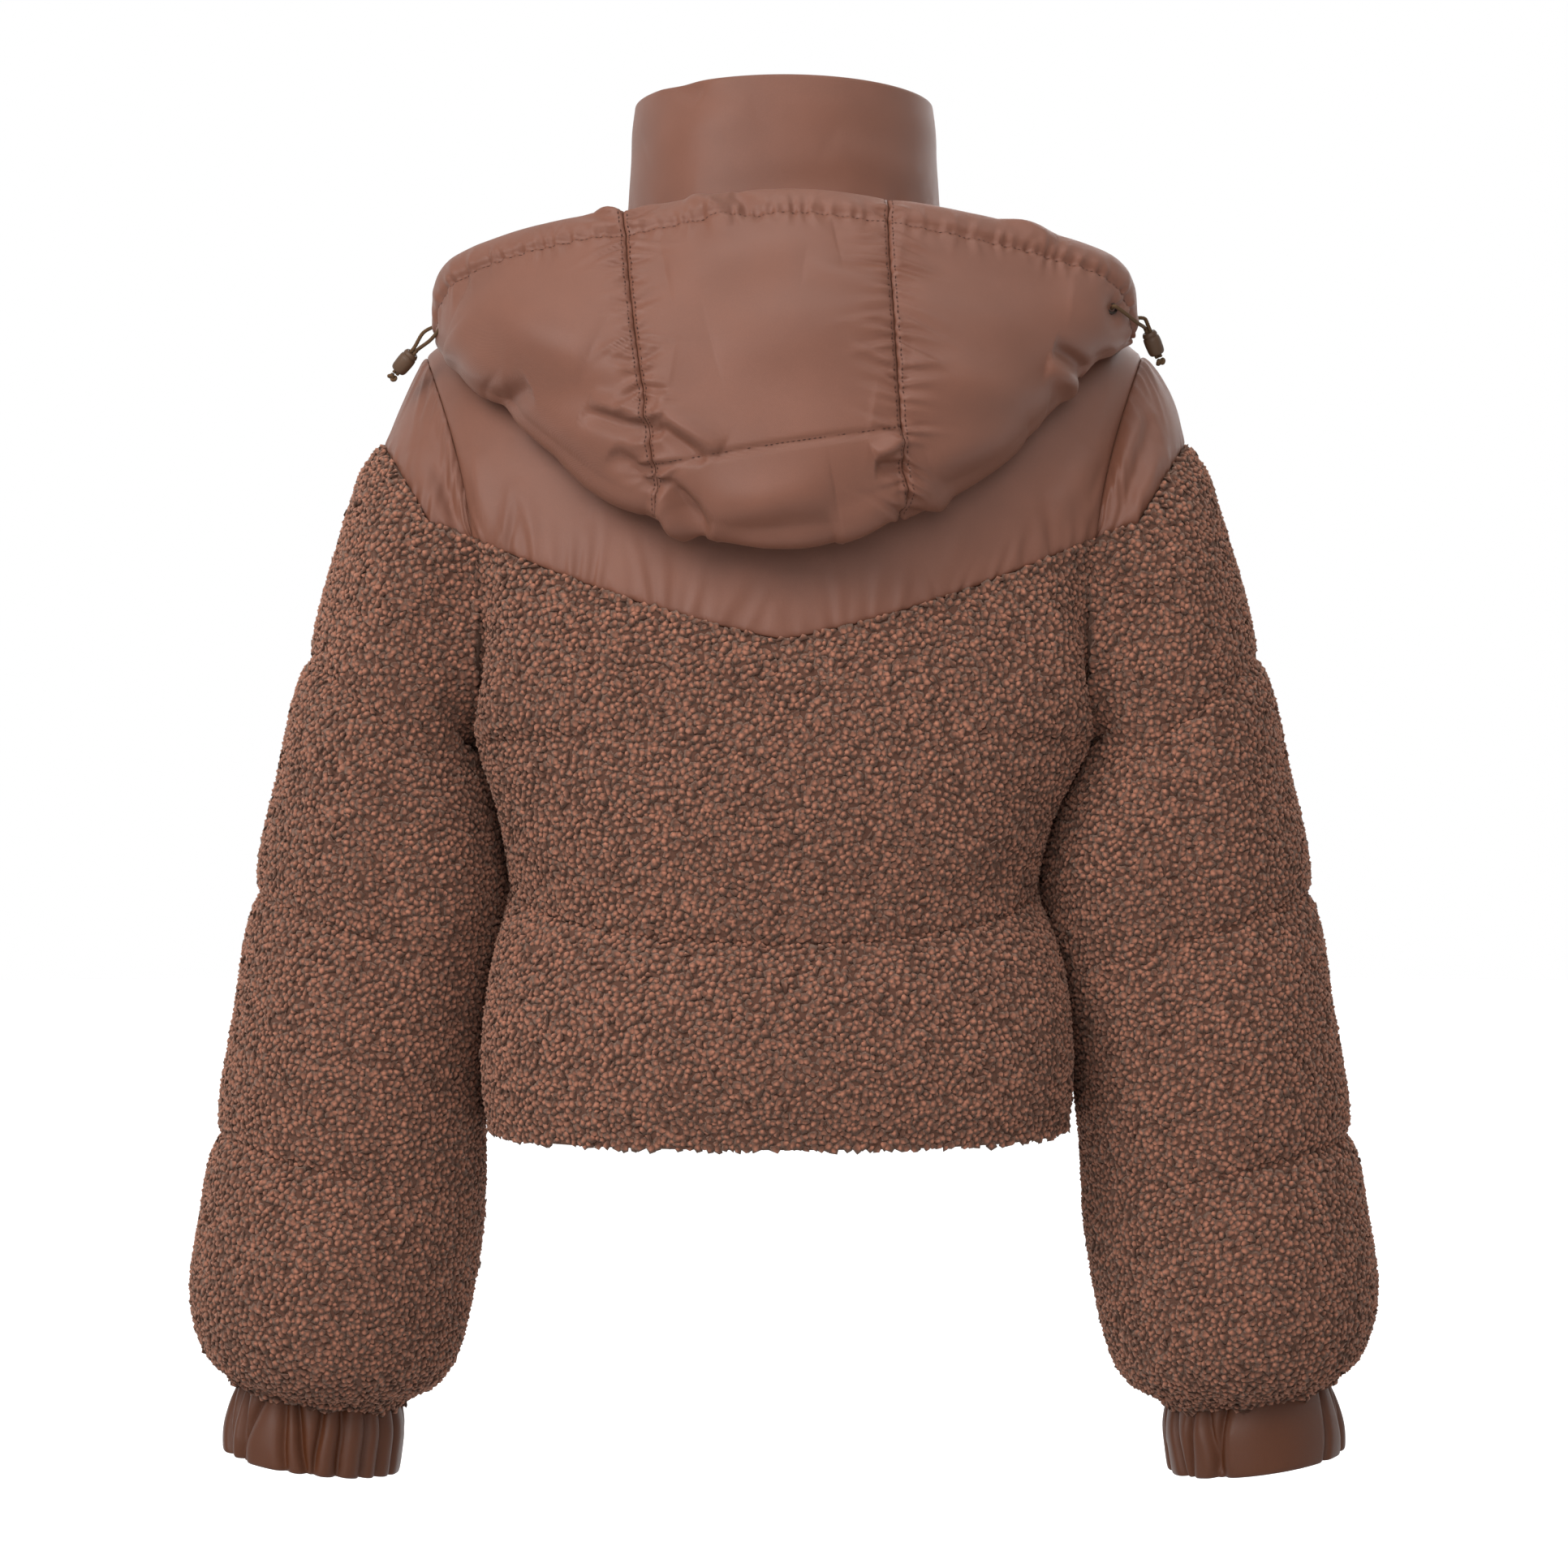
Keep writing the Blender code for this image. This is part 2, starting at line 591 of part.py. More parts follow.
# ---------------------------------------------------------------- sleeves and cuffs

def ring_point(rows, ring, degrees, side):
    """Return a point of a sleeve or cuff ring at a fractional row: 0 degrees outermost, 90 at the back."""
    keys = list(range(len(rows)))
    value = {}
    for column in rows[0]._fields:
        value[column] = through(keys, [getattr(row, column) for row in rows], ring)
    outer = Vector((value["outer_x"], 0.0, value["outer_z"]))
    inner = Vector((value["inner_x"], 0.0, value["inner_z"]))
    angle = math.radians(degrees)
    point = (outer + inner) / 2.0 + (outer - inner) / 2.0 * math.cos(angle)
    if rows is SLEEVE_ROWS:
        point.x -= ARMHOLE_BOW * math.sin(angle) ** 2 * (1.0 - ease(ring / 3.0))
    point.x *= side
    point.y = value["forward"] - value["half_depth"] * math.sin(angle)
    return point


def ring_middle(rows, ring, side):
    """Return the middle of one ring of a table."""
    row = rows[ring]
    return Vector((side * (row.outer_x + row.inner_x) / 2.0, row.forward, (row.outer_z + row.inner_z) / 2.0))


def sleeve_degrees(column):
    """Return the angle of a sleeve column, 0 outermost and rising towards the back."""
    return 360.0 * column / SLEEVE_COLUMNS


def cap_ring(column):
    """Return the fractional ring of the cap's lower seam in one column."""
    from_top = min(column, SLEEVE_COLUMNS - column) / QUARTER
    if from_top >= 1.0:
        return CAP_END_RING
    return CAP_RING * (0.42 + 0.58 * math.cos(math.radians(90.0) * from_top) ** 0.8)


CAP_ROWS = 4
CAP_COLUMNS = list(range(-QUARTER, QUARTER + 1))
LEVEL_RING = 2.6
TEDDY_RINGS = [0.0, 0.5, LEVEL_RING, 3.2, 4.0, 4.5, 5.0, 5.5, 6.0, 6.5, 7.0, 7.5, 8.0,
               8.7, 9.4, 10.1, 10.8, 11.4, 12.0]


def cap_grid(side):
    """Return the inside points of a sleeve cap, armhole to cap seam and front to back."""
    return [[ring_point(SLEEVE_ROWS, cap_ring(column % SLEEVE_COLUMNS) * row / CAP_ROWS,
                        sleeve_degrees(column), side)
             for column in CAP_COLUMNS] for row in range(CAP_ROWS + 1)]


def teddy_grid(side):
    """Return the inside points of the pile sleeve, whose first ring follows the armhole and cap seam."""
    first = []
    for column in range(SLEEVE_COLUMNS):
        under_cap = min(column, SLEEVE_COLUMNS - column) <= QUARTER
        first.append(cap_ring(column) if under_cap else 0.0)
    grid = []
    for ring in TEDDY_RINGS:
        line = []
        for column in range(SLEEVE_COLUMNS):
            place = ring
            if ring < LEVEL_RING:
                place = first[column] + (LEVEL_RING - first[column]) * ring / LEVEL_RING
            line.append(ring_point(SLEEVE_ROWS, place, sleeve_degrees(column), side))
        grid.append(line)
    return grid


def teddy_thickness():
    """Give the pile sleeve's thickness: four puffs between its quilt seams, fuller on the outside."""
    grid = []
    for ring in TEDDY_RINGS:
        low, high = 0.0, float(SLEEVE_QUILT_RINGS[1])
        for start, end in zip(SLEEVE_QUILT_RINGS[1:], SLEEVE_QUILT_RINGS[2:]):
            if ring > start:
                low, high = float(start), float(end)
        rise = puff((ring - low) / (high - low), PUFF_FULLNESS)
        line = []
        for column in range(SLEEVE_COLUMNS):
            outer = 0.5 + 0.5 * math.cos(math.radians(sleeve_degrees(column)))
            height = INNER_SLEEVE_PUFF + (OUTER_SLEEVE_PUFF - INNER_SLEEVE_PUFF) * ease(outer * 1.5)
            near_arm = (1.0 - ease((ring - 0.4) / 3.0)) * ease((0.55 - outer) * 5.0)
            line.append(CLOTH_AT_SEAM * (1.0 - ARMPIT_THINNING * near_arm) + height * rise * (1.0 - near_arm))
        grid.append(line)
    return grid


def cuff_grid(side):
    """Return the inside points of a cuff."""
    columns = CUFF_GATHERS * 2
    return [[ring_point(CUFF_ROWS, ring, 360.0 * column / columns, side) for column in range(columns)]
            for ring in CUFF_RINGS]


def cuff_thickness():
    """Give the cuff's thickness, raised in gathers of uneven height."""
    columns = CUFF_GATHERS * 2
    grid = []
    for row in range(len(CUFF_RINGS)):
        at_end = row in (0, len(CUFF_RINGS) - 1)
        line = []
        for column in range(columns):
            uneven = 0.65 + 0.35 * math.sin(column * 1.7) * math.cos(column * 0.6)
            gather = CUFF_GATHER_HEIGHT * uneven if column % 2 else 0.0
            line.append(NYLON_WALL + gather * (0.35 if at_end else 1.0))
        grid.append(line)
    return grid


# ---------------------------------------------------------------- collar and hood

def collar_grid():
    """Return the collar's inside points, neck seam to top edge, round from one zip edge to the other."""
    steps = int(COLUMNS_PER_HALF * NECK_SHARE)
    round_neck = [(1.0, FRONT, step / steps) for step in range(steps + 1)]
    round_neck += [(1.0, BACK, 1.0 - step / steps) for step in range(1, steps + 1)]
    round_neck += [(-1.0, BACK, step / steps) for step in range(1, steps + 1)]
    round_neck += [(-1.0, FRONT, 1.0 - step / steps) for step in range(1, steps + 1)]
    grid = []
    for row in range(6):
        rise = row / 5.0
        line = []
        for side, facing, share in round_neck:
            foot = neck_point(share, side, facing)
            angle = math.radians(90.0) * share
            opening = ZIP_HALF_OPENING if facing > 0.0 else 0.0
            lift = COLLAR_FRONT_RISE if facing > 0.0 else COLLAR_BACK_RISE
            top = Vector((side * (opening + (COLLAR_TOP_HALF_WIDTH - opening) * math.sin(angle)),
                          facing * COLLAR_TOP_DEPTH * math.cos(angle),
                          COLLAR_SIDE_TOP_Z + lift * math.cos(angle) ** 1.5))
            line.append(foot.lerp(top, rise))
        grid.append(line)
    return grid


def collar_thickness(columns):
    """Give the padded collar's thickness, rounded in at its top edge."""
    by_row = [CLOTH_AT_SEAM, 6.5 * MM, 8.0 * MM, 8.5 * MM, 8.0 * MM, 5.5 * MM]
    ends = (0, columns - 1)
    return [[value * (0.8 if column in ends else 1.0) for column in range(columns)] for value in by_row]


def hood_value(share, column):
    """Read the hood table at a share of the way across."""
    return table_value(HOOD_ROWS, "share", share, column)


def yoke_outer(back, thickness, rise, share):
    """Return a point on the back yoke's outside, share -1 at the left armhole and 1 at the right."""
    column = (share + 1.0) * COLUMNS_PER_HALF
    row = YOKE_ROW + rise * YOKE_ROWS
    low_row, low_column = min(int(row), YOKE_ROW + YOKE_ROWS - 1), min(int(column), 2 * COLUMNS_PER_HALF - 1)
    up, over = row - low_row, column - low_column

    def at(r, c):
        return back.points[r][c] + back.outward[r][c] * thickness[r - YOKE_ROW][c]

    low = at(low_row, low_column).lerp(at(low_row, low_column + 1), over)
    high = at(low_row + 1, low_column).lerp(at(low_row + 1, low_column + 1), over)
    return low.lerp(high, up)


def hood_line(back, thickness, share):
    """Return one section of the hood: rim, belly, bottom fold, then forward and up to the neck seam."""
    rim = Vector((hood_value(share, "rim_x"), hood_value(share, "rim_y"), hood_value(share, "rim_z")))
    belly = hood_value(share, "belly_y")
    bottom_z = hood_value(share, "bottom_z") + NYLON_WALL
    under_start = 0.22 + 0.50 * abs(share) ** 1.5
    on_yoke = share * 0.93
    first_under = yoke_outer(back, thickness, under_start, on_yoke)
    bottom = Vector((hood_value(share, "bottom_x"), (belly + first_under.y) / 2.0, bottom_z))
    height = rim.z - bottom_z
    upper = rim + Vector((0.0, (belly - rim.y) * 0.9, -0.25 * height))
    lower = Vector((bottom.x, belly + (belly - bottom.y) * 0.15, bottom.z + 0.04 * height))
    line = []
    for step in range(HOOD_OUTER_ROWS + 1):
        t = step / HOOD_OUTER_ROWS
        line.append(rim * (1 - t) ** 3 + upper * 3 * t * (1 - t) ** 2
                    + lower * 3 * t ** 2 * (1 - t) + bottom * t ** 3)
    for step in range(1, HOOD_UNDER_ROWS + 1):
        rise = under_start + (1.0 - under_start) * step / HOOD_UNDER_ROWS
        point = yoke_outer(back, thickness, rise, on_yoke)
        away = Vector((point.x * 0.35, point.y - 0.02, 0.05)).normalized()
        line.append(point + away * HOOD_LIFT * (1.0 + 0.8 * rise ** 4))
    return line


def build_hood(collection, back, thickness):
    """Build the hood's three panels and return the whole surface and its columns' shares."""
    seam = HOOD_SEAM_SHARE
    shares = [-1.0 + (1.0 - seam) * step / HOOD_SIDE_COLUMNS for step in range(HOOD_SIDE_COLUMNS)]
    shares += [-seam + 2.0 * seam * step / HOOD_CENTRE_COLUMNS for step in range(HOOD_CENTRE_COLUMNS)]
    shares += [seam + (1.0 - seam) * step / HOOD_SIDE_COLUMNS for step in range(HOOD_SIDE_COLUMNS + 1)]
    lines = [hood_line(back, thickness, share) for share in shares]
    rows = len(lines[0])
    grid = [[line[row] for line in lines] for row in range(rows)]
    surface = Surface(grid, HOOD_INSIDE)
    row, column = HOOD_OUTER_ROWS // 2, len(shares) // 2
    if surface.cell_normal(row, column).dot(grid[row][column] - HOOD_INSIDE) < 0.0:
        surface.flip = -surface.flip
    join_outward([surface])
    side, centre = HOOD_SIDE_COLUMNS, HOOD_SIDE_COLUMNS + HOOD_CENTRE_COLUMNS
    panels = [("hood_left", range(0, side + 1)), ("hood_centre", range(side, centre + 1)),
              ("hood_right", range(centre, len(shares)))]
    for name, columns in panels:
        columns = list(columns)
        walls = []
        for row in range(rows):
            tunnel = RIM_TUNNEL_WALL - NYLON_WALL if row <= 1 else 0.0
            under = 0.8 if row > HOOD_OUTER_ROWS else 1.0
            line = []
            for column in columns:
                at_edge = column in (columns[0], columns[-1])
                swell = 0.0 if at_edge or row > HOOD_OUTER_ROWS else HOOD_SWELL
                line.append(NYLON_WALL * under + tunnel + swell)
            walls.append(line)
        wall(name, NYLON, collection, part_of(surface.points, range(rows), columns),
             part_of(surface.outward, range(rows), columns), walls)
    return surface


# ---------------------------------------------------------------- drawcords

def axis_frame(axis, near):
    """Return two unit directions square to an axis, the first as near as can be to a given one."""
    first = (near - axis * near.dot(axis)).normalized()
    return first, axis.cross(first)


def turned(name, look, collection, centre, axis, profile, steps):
    """Turn a closed profile of (radius, height) pairs about an axis through a centre."""
    first, second = axis_frame(axis, Vector((0.3, 0.2, 0.9)))
    vertices, faces = [], []
    for step in range(steps):
        angle = math.tau * step / steps
        way = first * math.cos(angle) + second * math.sin(angle)
        vertices += [centre + way * radius + axis * height for radius, height in profile]
    size = len(profile)
    for step in range(steps):
        after = (step + 1) % steps
        for corner in range(size):
            beyond = (corner + 1) % size
            faces.append([step * size + corner, after * size + corner, after * size + beyond,
                          step * size + beyond])
    return make_solid(name, look, collection, vertices, faces)


def smooth_route(route, spacing):
    """Read evenly spaced points from a smooth curve through a route's own points."""
    lengths = [0.0]
    for one, other in zip(route, route[1:]):
        lengths.append(lengths[-1] + (other - one).length)
    count = max(int(lengths[-1] / spacing), 4)
    points = []
    for step in range(count + 1):
        place = lengths[-1] * step / count
        points.append(Vector([through(lengths, [stop[axis] for stop in route], place) for axis in range(3)]))
    return points


def eyelet_facing(cord):
    """Return the direction in which an eyelet faces."""
    return Vector((cord.side * 0.35, -0.90, 0.20)).normalized()


def strand_route(cord, from_eyelet):
    """Return the hand-placed points of one strand, from the hood, through the lock, to the knot."""
    axis = (cord.lock_bottom - cord.lock_top).normalized()
    wide = axis_frame(axis, Vector((1.0, 0.0, 0.0)))[0]
    offset = wide * STRAND_OFFSET * (-cord.side if from_eyelet else cord.side)
    if from_eyelet:
        route = [cord.eyelet, cord.eyelet + eyelet_facing(cord) * 0.005, cord.eyelet_bow]
    else:
        route = [cord.tunnel_end, cord.tunnel_bow]
    return route + [cord.lock_top + offset - axis * 0.003, cord.lock_top + offset,
                    cord.lock_bottom + offset, cord.lock_bottom + offset + axis * STRAND_TAIL]


def build_strand(name, collection, route):
    """Build one strand as a tube along its route."""
    curve = bpy.data.curves.new(name, "CURVE")
    curve.dimensions = "3D"
    curve.bevel_depth = CORD_RADIUS
    curve.bevel_resolution = 2
    curve.use_fill_caps = True
    points = smooth_route(route, CORD_RADIUS * 5.0)
    line = curve.splines.new("POLY")
    line.points.add(len(points) - 1)
    for place, point in zip(line.points, points):
        place.co = (*point, 1.0)
    thing = bpy.data.objects.new(name, curve)
    curve.materials.append(make_material(name, CORD_CLOTH))
    collection.objects.link(thing)
    return thing


def build_lock(name, collection, top, bottom):
    """Build a cord lock: a rounded barrel with a slot through which both strands run."""
    axis = (bottom - top).normalized()
    wide, thin = axis_frame(axis, Vector((1.0, 0.0, 0.0)))
    steps, inside, outside = 16, [], []
    shape = [(0.0, 0.82), (0.10, 0.96), (0.5, 1.0), (0.90, 0.96), (1.0, 0.82)]
    for share, swell in shape:
        centre = top.lerp(bottom, share)
        for step in range(steps):
            angle = math.tau * step / steps
            cosine, sine = math.cos(angle), math.sin(angle)
            inside.append(centre + wide * SLOT_HALF_WIDTH * math.copysign(abs(cosine) ** 0.7, cosine)
                          + thin * SLOT_HALF_HEIGHT * math.copysign(abs(sine) ** 0.7, sine))
            outside.append(centre + (wide * cosine + thin * sine) * LOCK_RADIUS * swell)
    return close_wall(name, LOCK_PLASTIC, collection, inside, outside, len(shape), steps, True)


def build_cords(collection):
    """Build each side's eyelet, strands, lock and knot."""
    half = EYELET_THICK / 2.0
    eyelet = [(EYELET_HOLE, -half), (EYELET_RADIUS, -half), (EYELET_RADIUS * 0.97, half * 0.6),
              (EYELET_RADIUS * 0.85, half), (EYELET_HOLE * 1.15, half), (EYELET_HOLE, half * 0.5)]
    for cord in CORD_SIDES:
        axis = (cord.lock_bottom - cord.lock_top).normalized()
        turned(f"eyelet_{cord.name}", TRIM_METAL, collection, cord.eyelet, eyelet_facing(cord), eyelet, 16)
        for letter, from_eyelet in (("a", False), ("b", True)):
            build_strand(f"drawcord_{cord.name}_{letter}", collection, strand_route(cord, from_eyelet))
        build_lock(f"cord_lock_{cord.name}", collection, cord.lock_top, cord.lock_bottom)
        centre = cord.lock_bottom + axis * (STRAND_TAIL + KNOT_GAP + KNOT_RADIUS)
        steps = 7
        ball = [(KNOT_RADIUS * max(math.sin(math.pi * step / steps), 0.12),
                 -KNOT_RADIUS * math.cos(math.pi * step / steps)) for step in range(steps + 1)]
        knot(f"cord_knot_{cord.name}", collection, centre, axis, ball)


def knot(name, collection, centre, axis, profile):
    """Build a knot as a lumpy ball with flat ends, square to the strands."""
    first, second = axis_frame(axis, Vector((1.0, 0.0, 0.0)))
    steps, vertices, faces = 12, [], []
    for radius, height in profile:
        for step in range(steps):
            angle = math.tau * step / steps
            lump = 1.0 + 0.10 * math.cos(3.0 * angle + height * 900.0)
            vertices.append(centre + axis * height
                            + (first * math.cos(angle) * 1.1 + second * math.sin(angle)) * radius * lump)
    rows = len(profile)
    for row in range(rows - 1):
        for step in range(steps):
            after = (step + 1) % steps
            faces.append([row * steps + step, row * steps + after, (row + 1) * steps + after,
                          (row + 1) * steps + step])
    faces.append(list(range(steps)))
    faces.append([(rows - 1) * steps + step for step in range(steps)])
    return make_solid(name, CORD_CLOTH, collection, vertices, faces)


# ---------------------------------------------------------------- centre-front zip

TAPE_FROM_CENTRE = 3.7 * MM
TAPE_REACH = 15.0 * MM
TAPE_WALL = 1.0 * MM
TAPE_BEHIND = 0.9 * MM
COIL_WALL = 2.6 * MM
SLIDER_MIDDLE_Z = 0.0625
SLIDER_LENGTH = 12.0 * MM
SLIDER_HALF_WIDTH = 4.3 * MM
SLIDER_BEHIND = 0.4 * MM
SLIDER_FACE = 2.8 * MM
PIN_OUT = 2.7 * MM
PIN_RADIUS = 0.8 * MM
EAR_INNER = 2.9 * MM
EAR_OUTER = 4.1 * MM
EYE_HOLE = 1.2 * MM
EYE_RADIUS = 2.2 * MM
PULL_HALF_WIDTH = 2.4 * MM
PULL_LENGTH = 21.0 * MM
PULL_THICK = 1.6 * MM


def zip_line(front, collar, collar_columns):
    """Return the front edge's inside points and their neighbours, hem to collar top."""
    edge = [(row[0], row[1]) for row in front.points]
    edge += [(row[collar_columns[0]], row[collar_columns[1]]) for row in collar.points[1:]]
    return edge


def zip_strip(name, look, collection, edge, from_x, to_x, behind, thick, top_z):
    """Build a strip along the front edge, set back behind the cloth's inner surface."""
    side = 1.0 if edge[0][0].x > 0.0 else -1.0
    rows, outward = [], []
    kept = [pair for pair in edge if pair[0].z < top_z - 0.002]
    following = edge[len(kept)] if len(kept) < len(edge) else None
    if following is not None:
        share = (top_z - kept[-1][0].z) / (following[0].z - kept[-1][0].z)
        kept.append(tuple(one.lerp(other, share) for one, other in zip(kept[-1], following)))
    for index, (first, second) in enumerate(kept):
        before, after = kept[max(index - 1, 0)][0], kept[min(index + 1, len(kept) - 1)][0]
        run = after - before
        out = Vector((0.0, run.z, -run.y)).normalized()
        line = []
        for x in (from_x, to_x):
            share = clamp((abs(x) - abs(first.x)) / (abs(second.x) - abs(first.x)))
            point = first.lerp(second, share)
            line.append(Vector((side * x, point.y, point.z)) - out * (behind + thick))
        rows.append(line)
        outward.append([out, out])
    walls = [[thick, thick] for _ in rows]
    return wall(name, look, collection, rows, outward, walls)


def add_box(name, look, collection, low, high):
    """Add a box between two corners."""
    corners = [(x, y, z) for z in (low.z, high.z) for y in (low.y, high.y) for x in (low.x, high.x)]
    faces = [(0, 2, 3, 1), (4, 5, 7, 6), (0, 1, 5, 4), (2, 6, 7, 3), (0, 4, 6, 2), (1, 3, 7, 5)]
    thing = make_solid(name, look, collection, corners, faces)
    for face in thing.data.polygons:
        face.use_smooth = False
    return thing


def add_rod(name, look, collection, centre, radius, half_length, steps=16):
    """Add a cylinder along X."""
    shape = bmesh.new()
    turn = Matrix.Translation(centre) @ Matrix.Rotation(math.radians(90.0), 4, "Y")
    bmesh.ops.create_cone(shape, cap_ends=True, segments=steps, radius1=radius, radius2=radius,
                          depth=half_length * 2.0, matrix=turn)
    mesh = bpy.data.meshes.new(name)
    shape.to_mesh(mesh)
    shape.free()
    thing = bpy.data.objects.new(name, mesh)
    mesh.materials.append(make_material(name, look))
    collection.objects.link(thing)
    return thing


def combine(thing, other, operation, cutters):
    """Join another body to a thing, or cut it away, and put that body among the cutters."""
    modifier = thing.modifiers.new(operation.title(), "BOOLEAN")
    modifier.operation = operation
    modifier.solver = "EXACT"
    modifier.object = other
    for collection in list(other.users_collection):
        collection.objects.unlink(other)
    cutters.objects.link(other)
    other.hide_render = True
    other.display_type = "WIRE"


def build_slider(collection, cutters, face_y):
    """Build the slider, with two ears and a pin, and the pull tab that swings on the pin."""
    low_z = SLIDER_MIDDLE_Z - SLIDER_LENGTH / 2.0
    high_z = SLIDER_MIDDLE_Z + SLIDER_LENGTH / 2.0
    back_y = face_y - SLIDER_FACE - SLIDER_BEHIND
    slider = add_box("zip_slider", TRIM_METAL, collection,
                     Vector((-SLIDER_HALF_WIDTH, back_y, low_z)), Vector((SLIDER_HALF_WIDTH, face_y, high_z)))
    bevel = slider.modifiers.new("Bevel", "BEVEL")
    bevel.width = 0.8 * MM
    bevel.segments = 2
    pin = Vector((0.0, face_y + PIN_OUT, high_z - 3.0 * MM))
    for side in (-1.0, 1.0):
        inner, outer = sorted((side * EAR_INNER, side * EAR_OUTER))
        ear = add_box(f"slider_ear_{outer:.4f}", TRIM_METAL, collection,
                      Vector((inner, face_y - 1.0 * MM, pin.z - 1.9 * MM)),
                      Vector((outer, pin.y + 1.7 * MM, pin.z + 1.9 * MM)))
        combine(slider, ear, "UNION", cutters)
    rod = add_rod("slider_pin", TRIM_METAL, collection, pin, PIN_RADIUS, EAR_OUTER - 0.3 * MM)
    combine(slider, rod, "UNION", cutters)
    pull = add_rod("zip_pull", TRIM_METAL, collection, pin, EYE_RADIUS, PULL_HALF_WIDTH, 24)
    plate = add_box("pull_plate", TRIM_METAL, collection,
                    Vector((-PULL_HALF_WIDTH + 0.01 * MM, pin.y - PULL_THICK / 2.0, pin.z - PULL_LENGTH)),
                    Vector((PULL_HALF_WIDTH - 0.01 * MM, pin.y + PULL_THICK / 2.0, pin.z - EYE_RADIUS * 0.7)))
    combine(pull, plate, "UNION", cutters)
    hole = add_rod("pull_hole", TRIM_METAL, collection, pin, EYE_HOLE, PULL_HALF_WIDTH * 2.0, 20)
    combine(pull, hole, "DIFFERENCE", cutters)
    return pin


# ---------------------------------------------------------------- assembly

def build_torso(collection, back, fronts, collar):
    """Build the body, yoke and collar pieces and return the back yoke's thickness."""
    low_rows = range(YOKE_ROW + 1)
    high_rows = range(YOKE_ROW, len(back.points))
    every = range(len(back.points[0]))
    wall("back_body", TEDDY, collection, part_of(back.points, low_rows, every),
         part_of(back.outward, low_rows, every), body_thickness(back, BACK, None))
    back_yoke = yoke_thickness(back, BACK)
    wall("back_yoke", NYLON, collection, part_of(back.points, high_rows, every),
         part_of(back.outward, high_rows, every), back_yoke)
    for name, front in fronts.items():
        every = range(len(front.points[0]))
        wall(f"front_{name}_body", TEDDY, collection, part_of(front.points, low_rows, every),
             part_of(front.outward, low_rows, every), body_thickness(front, FRONT, 0))
        wall(f"front_{name}_yoke", NYLON, collection, part_of(front.points, high_rows, every),
             part_of(front.outward, high_rows, every), yoke_thickness(front, FRONT))
    wall("collar", NYLON, collection, collar.points, collar.outward,
         collar_thickness(len(collar.points[0])))
    return back_yoke


def build_sleeve(name, collection, cap, teddy, cuff):
    """Build one side's sleeve cap, sleeve and cuff."""
    cap_rows, cap_columns = len(cap.points), len(cap.points[0])
    walls = []
    for row in range(cap_rows):
        swell = CAP_SWELL * puff(row / (cap_rows - 1), 0.7)
        line = []
        for column in range(cap_columns):
            from_end = min(column, cap_columns - 1 - column)
            thinning = 1.0 - CAP_END_THINNING * (1.0 - ease(from_end / 2.0))
            line.append(CLOTH_AT_SEAM * thinning + swell * ease(from_end / 2.0))
        walls.append(line)
    wall(f"sleeve_cap_{name}", NYLON, collection, cap.points, cap.outward, walls)
    wall(f"sleeve_{name}", TEDDY, collection, teddy.points, teddy.outward, teddy_thickness(), closed=True)
    wall(f"cuff_{name}", CUFF_CLOTH, collection, cuff.points, cuff.outward, cuff_thickness(), closed=True)


def main():
    """Build the whole jacket."""
    clear_scene()
    jacket = make_collection("puffer_jacket")
    cutters = make_collection("cutters")
    quarters = {(side, facing): torso_grid(side, facing) for side in (-1.0, 1.0) for facing in (BACK, FRONT)}

    back = Surface(full_back(quarters[-1.0, BACK], quarters[1.0, BACK]), TORSO_MIDDLE)
    fronts = {"left": Surface(quarters[-1.0, FRONT], TORSO_MIDDLE),
              "right": Surface(quarters[1.0, FRONT], TORSO_MIDDLE)}
    collar = Surface(collar_grid(), COLLAR_MIDDLE)
    sleeves = {}
    for name, side in (("left", -1.0), ("right", 1.0)):
        cap = Surface(cap_grid(side), ring_middle(SLEEVE_ROWS, 1, side))
        teddy = Surface(teddy_grid(side), ring_middle(SLEEVE_ROWS, 5, side), closed=True)
        cuff = Surface(cuff_grid(side), ring_middle(CUFF_ROWS, 1, side), closed=True)
        sleeves[name] = (cap, teddy, cuff)
    surfaces = [back, *fronts.values(), collar]
    for group in sleeves.values():
        surfaces += group[:2]
    join_outward(surfaces)
    join_outward([group[2] for group in sleeves.values()])
    back_yoke = build_torso(jacket, back, fronts, collar)
    for name, (cap, teddy, cuff) in sleeves.items():
        build_sleeve(name, jacket, cap, teddy, cuff)
    build_hood(jacket, back, back_yoke)
    build_cords(jacket)
    last = len(collar.points[0]) - 1
    edges = {"left": zip_line(fronts["left"], collar, (last, last - 1)),
             "right": zip_line(fronts["right"], collar, (0, 1))}
    for name, edge in edges.items():
        zip_strip(f"zip_tape_{name}", ZIP_CLOTH, jacket, edge, TAPE_FROM_CENTRE, TAPE_REACH,
                  TAPE_BEHIND, TAPE_WALL, 1.0)
    slider_low = SLIDER_MIDDLE_Z - SLIDER_LENGTH / 2.0 - 0.3 * MM
    zip_strip("zip_coil", ZIP_PLASTIC, jacket, edges["right"], -COIL_HALF_WIDTH, COIL_HALF_WIDTH,
              -COIL_WALL / 2.0, COIL_WALL, slider_low)
    face_y = collar.points[-2][0].y + SLIDER_FACE
    build_slider(jacket, cutters, face_y)


main()
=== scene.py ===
"""Cropped, hooded puffer jacket, zipped and filled out as if worn, hung in a plain studio.

Metres, +Z up, the back facing -Y. Pile body and sleeves, nylon yokes, caps, collar, hood and cuffs.
"""

import logging
import math
from collections.abc import Callable, Sequence
from dataclasses import dataclass, field
from enum import Enum
from functools import partial
from typing import NamedTuple

import bmesh
import bpy
import numpy as np
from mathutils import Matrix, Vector
from mathutils.kdtree import KDTree


